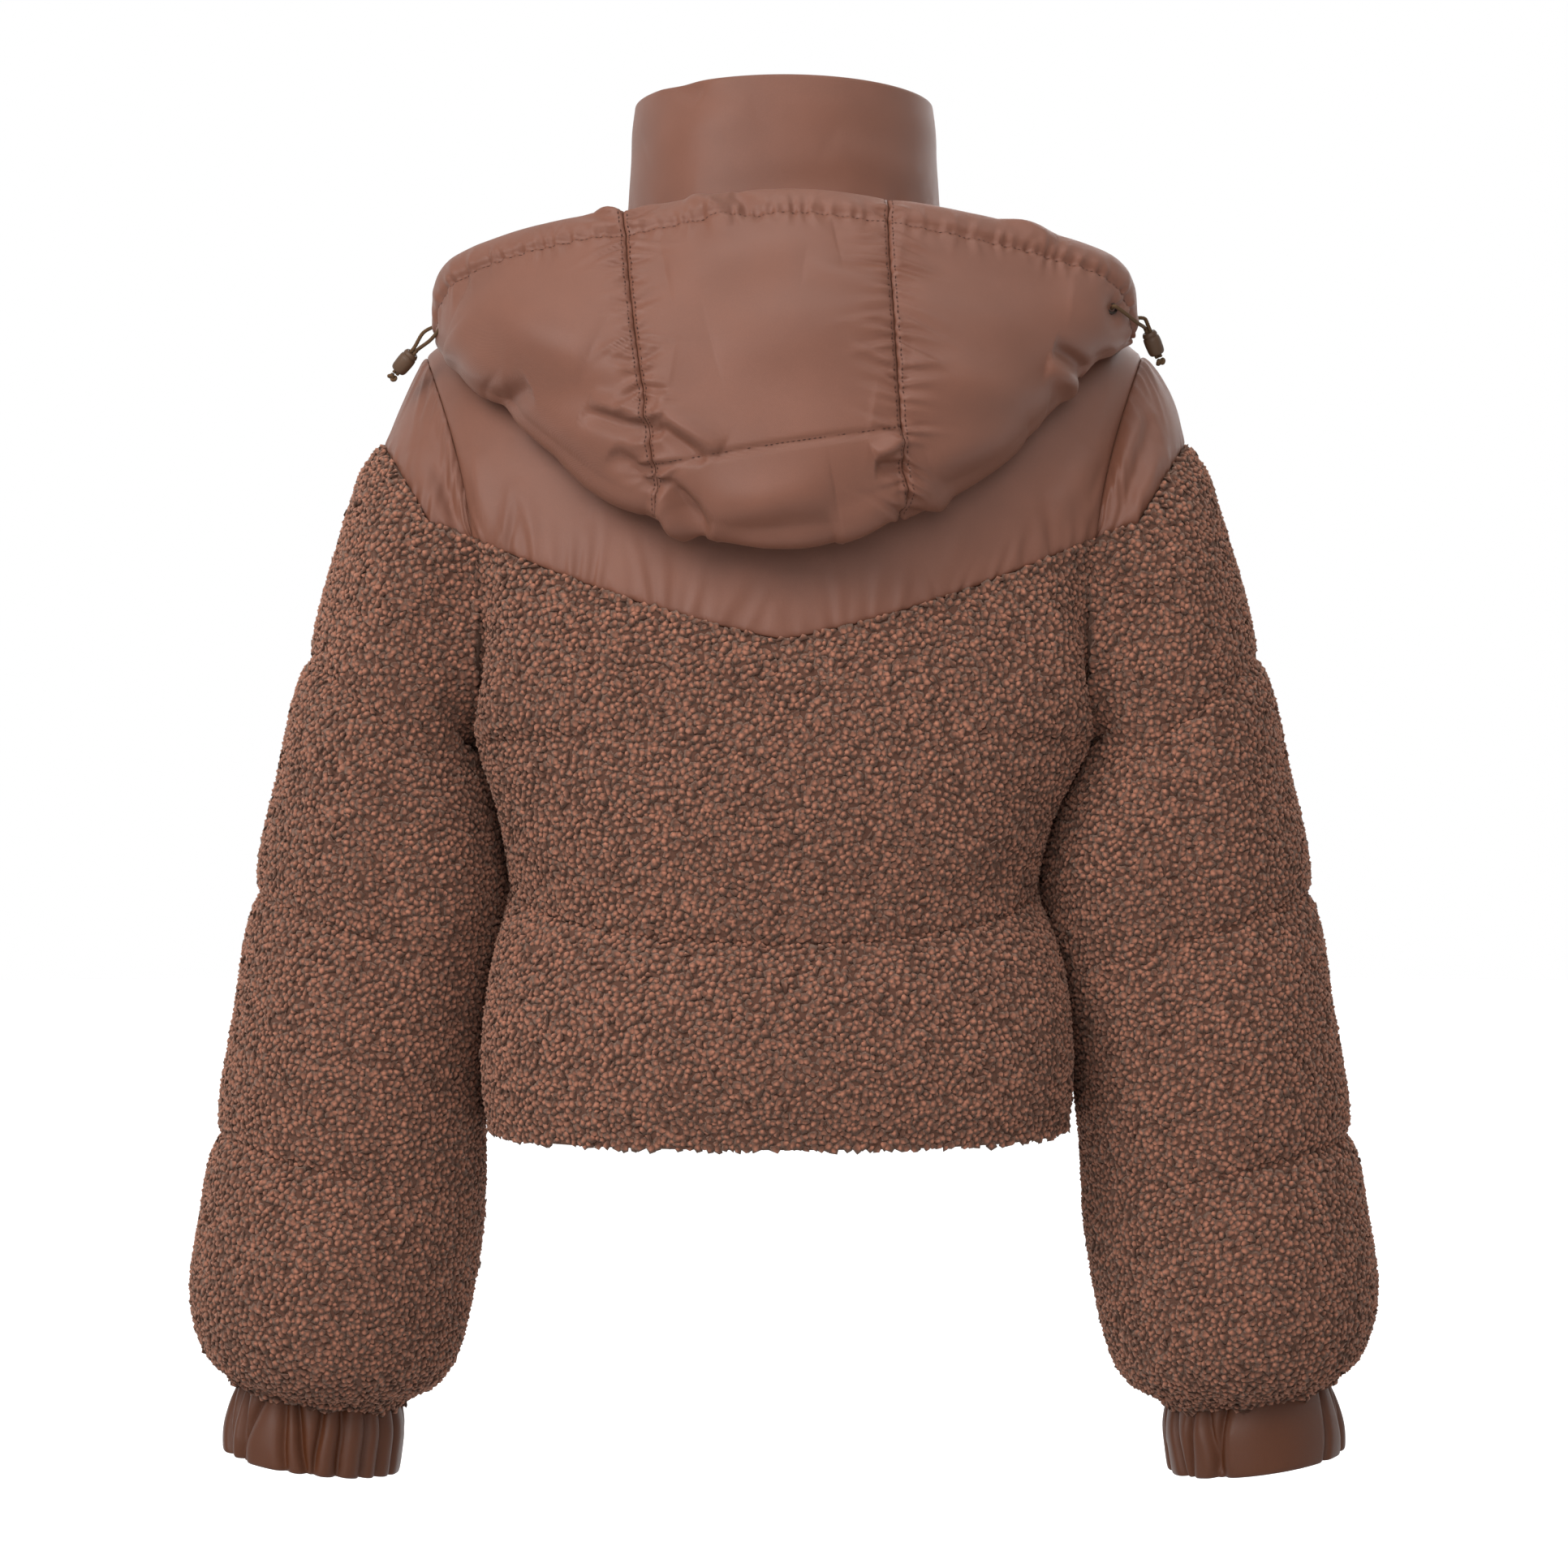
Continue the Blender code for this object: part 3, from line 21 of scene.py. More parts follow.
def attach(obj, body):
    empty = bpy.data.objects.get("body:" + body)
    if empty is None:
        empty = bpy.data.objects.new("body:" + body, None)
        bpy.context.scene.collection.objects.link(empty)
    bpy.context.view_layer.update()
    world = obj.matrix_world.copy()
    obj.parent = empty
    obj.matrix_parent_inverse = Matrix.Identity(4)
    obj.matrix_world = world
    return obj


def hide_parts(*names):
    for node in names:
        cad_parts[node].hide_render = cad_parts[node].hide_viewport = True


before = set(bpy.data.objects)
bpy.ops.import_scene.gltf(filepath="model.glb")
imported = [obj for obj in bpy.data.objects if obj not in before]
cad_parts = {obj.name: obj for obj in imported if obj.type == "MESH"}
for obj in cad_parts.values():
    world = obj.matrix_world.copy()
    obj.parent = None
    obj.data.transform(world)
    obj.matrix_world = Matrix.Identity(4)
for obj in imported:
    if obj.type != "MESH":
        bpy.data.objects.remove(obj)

Array = np.ndarray
log = logging.getLogger("jacket")
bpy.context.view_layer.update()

# ------------------------------------------------------------------ sizes shared with the solids

MM = 0.001
SEAM_HALF_GAP = 0.2 * MM
SAME_POINT = 0.02 * MM
NEARLY_WHOLE = 1e-6
END_STOPS = (0.12, 0.3, 0.6)
ARMPIT_THINNING = 0.45
CLOTH_AT_SEAM = 4.0 * MM
NYLON_WALL = 3.2 * MM
PUFF_FULLNESS = 0.55
LOWER_PUFF = 12.0 * MM
UPPER_PUFF = 12.5 * MM
SIDE_PUFF_SHARE = 0.20
INNER_SLEEVE_PUFF = 1.5 * MM
OUTER_SLEEVE_PUFFS = (9.0 * MM, 10.0 * MM, 8.5 * MM, 14.0 * MM)
YOKE_SWELL = 2.5 * MM
CAP_SWELL = 2.0 * MM

HEM_Z = -0.525
SIDE_QUILT_Z = -0.378
BACK_QUILT_Z = -0.411
UNDERARM_Z = -0.288
YOKE_SIDE_Z = -0.179
YOKE_POINT_Z = -0.239
FRONT_YOKE_Z = -0.190
FRONT_QUILT_Z = -0.392

SHOULDER_TIP = np.array([0.209, 0.0, -0.070])
UNDERARM = np.array([0.177, 0.0, UNDERARM_Z])
ARMHOLE_HALF_DEPTH = 0.075
ARMHOLE_BOW = 0.016
ARMHOLE_DEGREES = 28.0
SECTION_FULLNESS = 0.85
QUILT_FALL = 1.6
YOKE_FALL = 1.1
SHOULDER_BOW = 0.006
HEM_BOW = 0.003
YOKE_BEND = (1.03, 0.2)

NECK_HALF_WIDTH = 0.090
NECK_BACK_DEPTH = 0.080
NECK_FRONT_DEPTH = 0.078
NECK_FRONT_DROP = 0.028
COLLAR_TOP_HALF_WIDTH = 0.080
COLLAR_TOP_DEPTH = 0.074
COLLAR_SIDE_TOP_Z = 0.080
COLLAR_BACK_RISE = 0.006
COLLAR_FRONT_RISE = 0.004
ZIP_HALF_OPENING = 5.2 * MM

TORSO_MIDDLE = (0.0, 0.0, -0.3)
COLLAR_MIDDLE = (0.0, 0.0, 0.03)
HOOD_MIDDLE = (0.0, -0.125, -0.06)
COLUMNS_PER_HALF = 12
NECK_SHARE = 0.5
HEM_ROWS = 6
LOWER_ROWS = 4
ARM_ROWS = 6
YOKE_ROWS = 6
YOKE_ROW = HEM_ROWS + LOWER_ROWS + ARM_ROWS
TORSO_ROWS = YOKE_ROW + YOKE_ROWS
SLEEVE_COLUMNS = 24
QUARTER = 6
COLLAR_ROWS = 5
COLLAR_COLUMNS = 24


class Facing(Enum):
    """Which half of the torso a panel belongs to; the value is its direction along Y."""

    BACK = -1.0
    FRONT = 1.0


class Side(Enum):
    """Left or right in the back view; the value is its direction along X."""

    LEFT = -1.0
    RIGHT = 1.0

    @property
    def label(self) -> str:
        """Return the side's name in lower case."""
        return self.name.lower()


class BodyRow(NamedTuple):
    """One level section of the torso: the inside surface's half width, lean and depths."""

    z: float
    half_width: float
    lean: float
    back_depth: float
    front_depth: float


BODY_ROWS = [
    BodyRow(-0.540, 0.1625, -0.0022, 0.113, 0.108),
    BodyRow(-0.510, 0.1675, -0.0037, 0.116, 0.112),
    BodyRow(-0.475, 0.1675, -0.0040, 0.117, 0.114),
    BodyRow(-0.420, 0.1610, -0.0040, 0.113, 0.112),
    BodyRow(-0.382, 0.1520, -0.0060, 0.109, 0.109),
    BodyRow(-0.337, 0.1590, -0.0045, 0.113, 0.113),
    BodyRow(-0.288, 0.1770, 0.0000, 0.117, 0.115),
    BodyRow(-0.239, 0.1800, 0.0000, 0.118, 0.114),
    BodyRow(-0.179, 0.1800, 0.0000, 0.115, 0.110),
]


class RingRow(NamedTuple):
    """One ring of the right sleeve or cuff: its outermost and innermost points, half depth and reach."""

    outer_x: float
    outer_z: float
    inner_x: float
    inner_z: float
    half_depth: float
    forward: float


SLEEVE_ROWS = [
    RingRow(0.2090, -0.0700, 0.1770, -0.2880, 0.0750, 0.000),
    RingRow(0.2210, -0.0940, 0.1915, -0.2925, 0.0775, 0.001),
    RingRow(0.2330, -0.1230, 0.1960, -0.2985, 0.0790, 0.004),
    RingRow(0.2520, -0.1730, 0.1940, -0.3070, 0.0800, 0.008),
    RingRow(0.2770, -0.2460, 0.1890, -0.3180, 0.0800, 0.013),
    RingRow(0.2880, -0.3130, 0.1850, -0.3660, 0.0800, 0.018),
    RingRow(0.3090, -0.3850, 0.1810, -0.4300, 0.0810, 0.023),
    RingRow(0.3170, -0.4550, 0.1870, -0.4950, 0.0830, 0.028),
    RingRow(0.3335, -0.5290, 0.1835, -0.5640, 0.0830, 0.032),
    RingRow(0.3350, -0.5750, 0.1880, -0.6060, 0.0840, 0.034),
    RingRow(0.3390, -0.6220, 0.1970, -0.6500, 0.0820, 0.036),
    RingRow(0.3340, -0.6540, 0.2080, -0.6740, 0.0720, 0.037),
    RingRow(0.3250, -0.6760, 0.2330, -0.6900, 0.0520, 0.038),
]
CAP_RING = 2.0
CAP_LEAST = 0.42
CAP_FULLNESS = 0.8
CAP_END_RING = 0.12
CAP_END_THINNING = 0.80
CAP_ROWS = 4
SLEEVE_SEAM_RINGS = (0.0, 4.0, 6.0, 8.0, 12.0)
LEVEL_RING = 2.6
PILE_RINGS = (0.0, 0.5, LEVEL_RING, 3.2, 4.0, 4.5, 5.0, 5.5, 6.0, 6.5, 7.0, 7.5, 8.0,
              8.7, 9.4, 10.1, 10.8, 11.4, 12.0)

CUFF_ROWS = [
    RingRow(0.3210, -0.6777, 0.2370, -0.6912, 0.0480, 0.038),
    RingRow(0.3255, -0.6920, 0.2355, -0.7060, 0.0495, 0.038),
    RingRow(0.3290, -0.7060, 0.2370, -0.7200, 0.0490, 0.038),
    RingRow(0.3300, -0.7195, 0.2385, -0.7330, 0.0480, 0.038),
]
CUFF_COLUMNS = 52


class HoodRow(NamedTuple):
    """One upright section of the hood, by its share of the way across from -1 to 1."""

    share: float
    rim_x: float
    rim_y: float
    rim_z: float
    bottom_x: float
    belly_y: float
    bottom_z: float


HOOD_SECTIONS = [
    HoodRow(-1.00, -0.1900, -0.062, -0.0480, -0.1950, -0.070, -0.0640),
    HoodRow(-0.90, -0.1860, -0.078, -0.0300, -0.1800, -0.098, -0.0800),
    HoodRow(-0.75, -0.1600, -0.100, -0.0165, -0.1540, -0.130, -0.1060),
    HoodRow(-0.60, -0.1200, -0.118, -0.0075, -0.1100, -0.160, -0.1410),
    HoodRow(-0.45, -0.0880, -0.127, -0.0030, -0.0680, -0.179, -0.1680),
    HoodRow(0.00, -0.0120, -0.135, 0.0060, 0.0000, -0.190, -0.1840),
    HoodRow(0.45, 0.0570, -0.131, 0.0036, 0.0660, -0.181, -0.1660),
    HoodRow(0.60, 0.1050, -0.120, -0.0050, 0.1050, -0.162, -0.1440),
    HoodRow(0.75, 0.1500, -0.102, -0.0145, 0.1470, -0.132, -0.1040),
    HoodRow(0.90, 0.1850, -0.079, -0.0290, 0.1780, -0.100, -0.0720),
    HoodRow(1.00, 0.1915, -0.062, -0.0480, 0.1960, -0.070, -0.0620),
]
HOOD_SEAM_SHARE = 0.45
HOOD_SIDE_COLUMNS = 9
HOOD_CENTRE_COLUMNS = 12
HOOD_OUTER_ROWS = 9
HOOD_UNDER_ROWS = 6
HOOD_LIFT = 4.7 * MM
RIM_TUNNEL_WALL = 6.0 * MM


class CordSide(NamedTuple):
    """Where one side's drawcord runs, how each strand bows, and how deep its eyelet sits."""

    side: Side
    eyelet: Vector
    tunnel_end: Vector
    lock_top: Vector
    lock_bottom: Vector
    eyelet_bow: Vector
    tunnel_bow: Vector
    clearance: float
    recess: float


CORD_SIDES = [CordSide(side, *map(Vector, places), clearance, recess) for side, places, clearance, recess in (
    (Side.LEFT, ((-0.1850, -0.1027, -0.0500), (-0.1965, -0.0688, -0.0551), (-0.2150, -0.0560, -0.0705),
                 (-0.2240, -0.0520, -0.0805), (-0.2020, -0.0740, -0.0640), (-0.2080, -0.0600, -0.0590)),
     1.5 * MM, 0.0),
    (Side.RIGHT, ((0.1860, -0.1010, -0.0500), (0.1970, -0.0689, -0.0530), (0.2110, -0.0560, -0.0585),
                  (0.2165, -0.0520, -0.0708), (0.2020, -0.0855, -0.0565), (0.2080, -0.0600, -0.0510)),
     4.0 * MM, 6.0 * MM),
)]
CORD_RADIUS = 1.1 * MM
STRAND_OFFSET = 1.1 * MM
LOCK_RADIUS = 4.9 * MM
CORD_SIDE_COUNT = 12
KNOT_CORD_RADIUS = 0.95 * CORD_RADIUS
KNOT_SIDE_COUNT = 10
STRAND_STEP = 0.5 * MM
LOCK_APPROACH = 3.0 * MM
BRAID_DEPTH = 0.10
BRAID_TURN = 0.55 * MM
KNOT_RADIUS = 3.3 * MM
KNOT_GAP = -0.6 * MM
STRAND_TAIL = 2.2 * MM
RECESS_REACH = 8.0 * MM


# ------------------------------------------------------------------ curves and puffs

def ease(value: Array | float) -> Array:
    """Return a smooth step from nought to one."""
    share = np.clip(value, 0.0, 1.0)
    return share * share * (3.0 - 2.0 * share)


def puff(share: Array | float, fullness: float = PUFF_FULLNESS) -> Array:
    """Return the height of a padded panel between two seams, nought at both and one in the middle."""
    return np.maximum(np.sin(np.pi * np.clip(share, 0.0, 1.0)), 0.0) ** fullness


def through(keys: Sequence[float], values: Sequence, at: Array | float) -> Array:
    """Read a smooth curve through keyed values.

    Args:
        keys: Rising keys.
        values: A number or a row of numbers for each key.
        at: Where to read; any shape.

    Returns:
        The values there, with a row's columns as the last axis.
    """
    keys = np.asarray(keys, float)
    values = np.asarray(values, float)
    flat = values.reshape(len(keys), -1)
    at = np.clip(np.asarray(at, float), keys[0], keys[-1])
    index = np.clip(np.searchsorted(keys, at) - 1, 0, len(keys) - 2)
    before = np.maximum(np.arange(len(keys)) - 1, 0)
    after = np.minimum(np.arange(len(keys)) + 1, len(keys) - 1)
    slopes = (flat[after] - flat[before]) / (keys[after] - keys[before])[:, None]
    span = (keys[index + 1] - keys[index])[..., None]
    share = (at - keys[index])[..., None] / span
    square, cube = share ** 2, share ** 3
    read = ((2 * cube - 3 * square + 1) * flat[index] + (cube - 2 * square + share) * span * slopes[index]
            + (3 * square - 2 * cube) * flat[index + 1] + (cube - square) * span * slopes[index + 1])
    return read if values.ndim > 1 else read[..., 0]


def stack(x: Array, y: Array, z: Array) -> Array:
    """Join three coordinate arrays into one array of points."""
    return np.stack(np.broadcast_arrays(x, y, z), axis=-1)


def unit(vectors: Array) -> Array:
    """Scale vectors on the last axis to unit length."""
    return vectors / np.maximum(np.linalg.norm(vectors, axis=-1, keepdims=True), 1e-12)


def stops(first: float, last: float, per_step: float) -> Array:
    """Choose places between two whole rows, closer together next to both ends.

    Args:
        first: First row.
        last: Last row.
        per_step: How many places for each row.

    Returns:
        The places, rising.
    """
    count = int(round((last - first) * per_step))
    places = first + (last - first) * np.arange(count + 1) / count
    near = (last - first) / count * np.array(END_STOPS)
    return np.unique(np.concatenate([places, first + near, last - near]))


def round_stops(columns: int, per_step: int) -> Array:
    """Return evenly spaced places all round a closed surface."""
    return np.arange(columns * per_step) / per_step


def run_length(points: Array) -> Array:
    """Return how far along a line each of its points is."""
    return np.concatenate([[0.0], np.cumsum(np.linalg.norm(np.diff(points, axis=0), axis=-1))])


def point_tree(points: Array) -> KDTree:
    """Return a tree that finds the points near a place.

    Args:
        points: The points.

    Returns:
        The tree.
    """
    tree = KDTree(len(points))
    for index, point in enumerate(points):
        tree.insert(point, index)
    tree.balance()
    return tree


def ring_faces(ids: Array, capped: bool = True) -> list[list[int]]:
    """Join rings of vertices into a tube.

    Args:
        ids: The vertices' numbers, one row for each ring.
        capped: Whether a face closes both ends.

    Returns:
        The faces.
    """
    after = np.roll(ids, -1, axis=1)
    faces = np.stack([ids[:-1], after[:-1], after[1:], ids[1:]], axis=-1).reshape(-1, 4).tolist()
    return faces + [ids[0][::-1].tolist(), ids[-1].tolist()] if capped else faces


def spline_weights(count: int, places: Array, closed: bool) -> Array:
    """Return the weights that read a smooth curve through evenly numbered rows.

    Args:
        count: How many rows there are.
        places: Where to read, in row numbers.
        closed: Whether the last row is followed by the first.

    Returns:
        One line of weights for each place.
    """
    base = np.floor(places).astype(int)
    if not closed:
        base = np.clip(base, 0, count - 2)
    share = places - base
    weights = np.zeros((len(places), count))
    shape = (-0.5 * share + share ** 2 - 0.5 * share ** 3, 1.0 - 2.5 * share ** 2 + 1.5 * share ** 3,
             0.5 * share + 2.0 * share ** 2 - 1.5 * share ** 3, -0.5 * share ** 2 + 0.5 * share ** 3)
    for offset, weight in zip((-1, 0, 1, 2), shape):
        row = base + offset
        row = row % count if closed else np.clip(row, 0, count - 1)
        np.add.at(weights, (np.arange(len(places)), row), weight)
    return weights


# ------------------------------------------------------------------ the jacket's inner surfaces

def armhole_point(side: Array | float, facing: Array | float, degrees: Array | float) -> Array:
    """Return points on the armhole, from 0 degrees at the shoulder tip to 180 at the underarm.

    Args:
        side: -1 or 1 along X.
        facing: -1 for the back, 1 for the front.
        degrees: Angles round the armhole.

    Returns:
        The points.
    """
    angle = np.radians(degrees)
    middle, reach = (SHOULDER_TIP + UNDERARM) / 2.0, (SHOULDER_TIP - UNDERARM) / 2.0
    x = middle[0] + reach[0] * np.cos(angle) - ARMHOLE_BOW * np.sin(angle) ** 2
    return stack(side * x, facing * ARMHOLE_HALF_DEPTH * np.sin(angle), middle[2] + reach[2] * np.cos(angle))


def armhole_degrees(z: Array) -> Array:
    """Return the armhole angle at a height."""
    middle, half = (SHOULDER_TIP[2] + UNDERARM_Z) / 2.0, (SHOULDER_TIP[2] - UNDERARM_Z) / 2.0
    return np.degrees(np.arccos(np.clip((z - middle) / half, -1.0, 1.0)))


def section_point(z: Array, share: Array, side: float, facing: float, opening: float) -> Array:
    """Return points of level torso sections.

    Args:
        z: Heights.
        share: Shares of the way from the centre to the side.
        side: -1 or 1 along X.
        facing: -1 for the back, 1 for the front.
        opening: Half the gap at the centre.

    Returns:
        The points.
    """
    table = through([row.z for row in BODY_ROWS], BODY_ROWS, z)
    _, half_width, lean, back_depth, front_depth = np.moveaxis(table, -1, 0)
    edge = armhole_point(1.0, facing, armhole_degrees(z))
    low = z <= UNDERARM_Z + SAME_POINT
    side_x = np.where(low, half_width, edge[..., 0])
    side_y = np.where(low, 0.0, np.abs(edge[..., 1]))
    lean = np.where(low, lean, 0.0)
    rise = np.where(low, 0.0, ease((z - UNDERARM_Z) / (YOKE_SIDE_Z - UNDERARM_Z)))
    turn = np.radians(90.0 - ARMHOLE_DEGREES * rise)
    depth = back_depth if facing < 0.0 else front_depth
    across = (np.sin(share * turn) / np.sin(turn)) ** SECTION_FULLNESS
    level = (np.cos(share * turn) - np.cos(turn)) / (1.0 - np.cos(turn))
    x = side * (opening + (side_x - opening) * across) + lean * across
    return stack(x, facing * (side_y + (depth - side_y) * np.maximum(level, 0.0) ** SECTION_FULLNESS), z)


def seam_heights(share: Array, facing: float) -> tuple[Array, Array]:
    """Return the quilt seam's and the yoke seam's heights at shares of the way to the side.

    Args:
        share: Shares of the way from the centre to the side.
        facing: -1 for the back, 1 for the front.

    Returns:
        Both heights.
    """
    if facing < 0.0:
        quilt_middle, yoke_middle, fall = BACK_QUILT_Z, YOKE_POINT_Z, (1.0 - share) ** YOKE_FALL
    else:
        quilt_middle, yoke_middle, fall = FRONT_QUILT_Z, FRONT_YOKE_Z, 1.0 - share
    quilt = SIDE_QUILT_Z + (quilt_middle - SIDE_QUILT_Z) * (1.0 - share ** QUILT_FALL)
    return quilt, YOKE_SIDE_Z + (yoke_middle - YOKE_SIDE_Z) * fall


def neck_point(share: Array, side: Array | float, facing: Array | float) -> Array:
    """Return points of the neck seam, share 0 at the centre and 1 at the side of the neck.

    Args:
        share: Shares of the way round.
        side: -1 or 1 along X.
        facing: -1 for the back, 1 for the front.

    Returns:
        The points.
    """
    angle = np.radians(90.0) * share
    front = np.asarray(facing) > 0.0
    opening = np.where(front, ZIP_HALF_OPENING, 0.0)
    depth = np.where(front, NECK_FRONT_DEPTH, NECK_BACK_DEPTH)
    drop = np.where(front, NECK_FRONT_DROP, 0.0) * np.cos(angle) ** 2
    x = opening + (NECK_HALF_WIDTH - opening) * np.sin(angle)
    return stack(side * x, facing * depth * np.cos(angle), -drop)


def yoke_top(share: Array, side: float, facing: float) -> Array:
    """Return points of the neck seam and of the shoulder seam beyond it.

    Args:
        share: Shares of the way from the centre to the side.
        side: -1 or 1 along X.
        facing: -1 for the back, 1 for the front.

    Returns:
        The points.
    """
    neck = neck_point(np.minimum(share / NECK_SHARE, 1.0), side, facing)
    along = np.clip((share - NECK_SHARE) / (1.0 - NECK_SHARE), 0.0, 1.0)[..., None]
    tip = SHOULDER_TIP * (side, 1.0, 1.0)
    top = neck + (tip - neck) * along
    top[..., 2] += SHOULDER_BOW * np.sin(math.pi * along[..., 0])
    return top


def bent(low: Array, top: Array, rise: Array) -> Array:
    """Return points of the rounded rise from the yoke seam to the top of the yoke.

    Args:
        low: Points of the yoke seam.
        top: Points of the yoke's top edge.
        rise: Shares of the way up.

    Returns:
        The points.
    """
    out, down = YOKE_BEND
    bend = stack((low[..., 0] + top[..., 0]) / 2.0, low[..., 1] * out,
                 top[..., 2] - down * (top[..., 2] - low[..., 2]))
    rise = rise[..., None]
    return low * (1.0 - rise) ** 2 + bend * 2.0 * rise * (1.0 - rise) + top * rise ** 2


def torso_point(row: Array, share: Array, side: float, facing: float) -> Array:
    """Return points of one quarter of the torso.

    Args:
        row: Row numbers, nought at the hem and TORSO_ROWS at the shoulder.
        share: Shares of the way from the centre to the side.
        side: -1 or 1 along X.
        facing: -1 for the back, 1 for the front.

    Returns:
        The points.
    """
    opening = ZIP_HALF_OPENING if facing > 0.0 else 0.0
    quilt, yoke = seam_heights(share, facing)
    hem = HEM_Z - HEM_BOW * (1.0 - share ** 2)
    under = SIDE_QUILT_Z + (UNDERARM_Z - SIDE_QUILT_Z) * (row - HEM_ROWS) / LOWER_ROWS
    arm_rows = np.clip(row - HEM_ROWS - LOWER_ROWS, 0.0, ARM_ROWS)
    arm = armhole_point(side, facing, 180.0 - 90.0 * arm_rows / ARM_ROWS)[..., 2]
    side_z = np.where(row < HEM_ROWS + LOWER_ROWS, under, arm)
    z = np.where(row < HEM_ROWS, hem + (quilt - hem) * row / HEM_ROWS,
                 quilt + (yoke - quilt) * (side_z - SIDE_QUILT_Z) / (YOKE_SIDE_Z - SIDE_QUILT_Z))
    body = section_point(z, share, side, facing, opening)
    rise = np.clip((row - YOKE_ROW) / YOKE_ROWS, 0.0, 1.0)
    low = section_point(yoke, share, side, facing, opening)
    edge_low = section_point(np.asarray(YOKE_SIDE_Z), np.asarray(1.0), side, facing, opening)
    edge = bent(edge_low, SHOULDER_TIP * (side, 1.0, 1.0), rise)
    wanted = armhole_point(side, facing, 90.0 * (1.0 - rise))
    upper = bent(low, yoke_top(share, side, facing), rise) + (wanted - edge) * (share ** 3)[..., None]
    return np.where((row <= YOKE_ROW)[..., None], body, upper)


def back_point(row: Array, column: Array) -> Array:
    """Return points of the whole back, column 0 at the left side.

    Args:
        row: Row numbers.
        column: Column numbers.

    Returns:
        The points.
    """
    share = column / COLUMNS_PER_HALF - 1.0
    left = torso_point(row, np.clip(-share, 0.0, 1.0), -1.0, -1.0)
    right = torso_point(row, np.clip(share, 0.0, 1.0), 1.0, -1.0)
    return np.where((share < 0.0)[..., None], left, right)


def front_point(side: Side, row: Array, column: Array) -> Array:
    """Return points of one front half, column 0 at the zip."""
    return torso_point(row, column / COLUMNS_PER_HALF, side.value, Facing.FRONT.value)


def ring_point(rows: Sequence[RingRow], ring: Array, degrees: Array, side: float) -> Array:
    """Return points of a sleeve or cuff.

    Args:
        rows: The rings' table.
        ring: Ring numbers, which may lie between two rings.
        degrees: 0 at the outermost point and 90 at the back.
        side: -1 or 1 along X.

    Returns:
        The points.
    """
    value = through(range(len(rows)), rows, ring)
    angle = np.radians(degrees)
    outer_x, outer_z, inner_x, inner_z, half_depth, forward = (value[..., index] for index in range(6))
    x = (outer_x + inner_x) / 2.0 + (outer_x - inner_x) / 2.0 * np.cos(angle)
    z = (outer_z + inner_z) / 2.0 + (outer_z - inner_z) / 2.0 * np.cos(angle)
    if rows is SLEEVE_ROWS:
        x = x - ARMHOLE_BOW * np.sin(angle) ** 2 * (1.0 - ease(ring / 3.0))
    return stack(side * x, forward - half_depth * np.sin(angle), z)


def cap_rings() -> Array:
    """Return the cap seam's ring in each whole column from the top of the sleeve to its end.

    Returns:
        The ring numbers.
    """
    column = np.arange(QUARTER + 1)
    rise = np.maximum(np.cos(np.radians(90.0) * column / QUARTER), 0.0) ** CAP_FULLNESS
    rings = CAP_RING * (CAP_LEAST + (1.0 - CAP_LEAST) * rise)
    rings[-1] = CAP_END_RING
    return rings


def cap_seam(column: Array) -> Array:
    """Return the cap seam's ring in each column, nought past the cap's ends.

    Args:
        column: Column numbers, 0 at the top of the sleeve.

    Returns:
        The ring numbers.
    """
    turned = np.abs((column + SLEEVE_COLUMNS / 2) % SLEEVE_COLUMNS - SLEEVE_COLUMNS / 2)
    rings = np.append(cap_rings(), 0.0)
    return np.where(turned < QUARTER, np.interp(turned, range(len(rings)), rings),
                    np.interp(turned, (QUARTER, QUARTER + 0.2), (CAP_END_RING, 0.0)))


def sleeve_degrees(column: Array) -> Array:
    """Return the angle of a sleeve column, 0 outermost and rising towards the back."""
    return 360.0 * column / SLEEVE_COLUMNS


def cap_point(row: Array, column: Array, side: float) -> Array:
    """Return points of a sleeve cap, armhole to cap seam; column QUARTER is the top of the sleeve."""
    turned = column - QUARTER
    return ring_point(SLEEVE_ROWS, cap_seam(turned) * row / CAP_ROWS, sleeve_degrees(turned), side)


def pile_ring(row: Array, column: Array) -> Array:
    """Return the sleeve ring of each row and column of the pile sleeve.

    Args:
        row: Row numbers.
        column: Column numbers.

    Returns:
        The ring numbers.
    """
    ring = np.interp(row, range(len(PILE_RINGS)), PILE_RINGS)
    first = cap_seam(column)
    return np.where(ring < LEVEL_RING, first + (LEVEL_RING - first) * ring / LEVEL_RING, ring)


def pile_point(row: Array, column: Array, side: float) -> Array:
    """Return points of the pile sleeve, cap seam to cuff seam."""
    return ring_point(SLEEVE_ROWS, pile_ring(row, column), sleeve_degrees(column), side)


def cuff_point(row: Array, column: Array, side: float) -> Array:
    """Return points of a cuff, sleeve end to hand."""
    return ring_point(CUFF_ROWS, row, 360.0 * column / CUFF_COLUMNS, side)


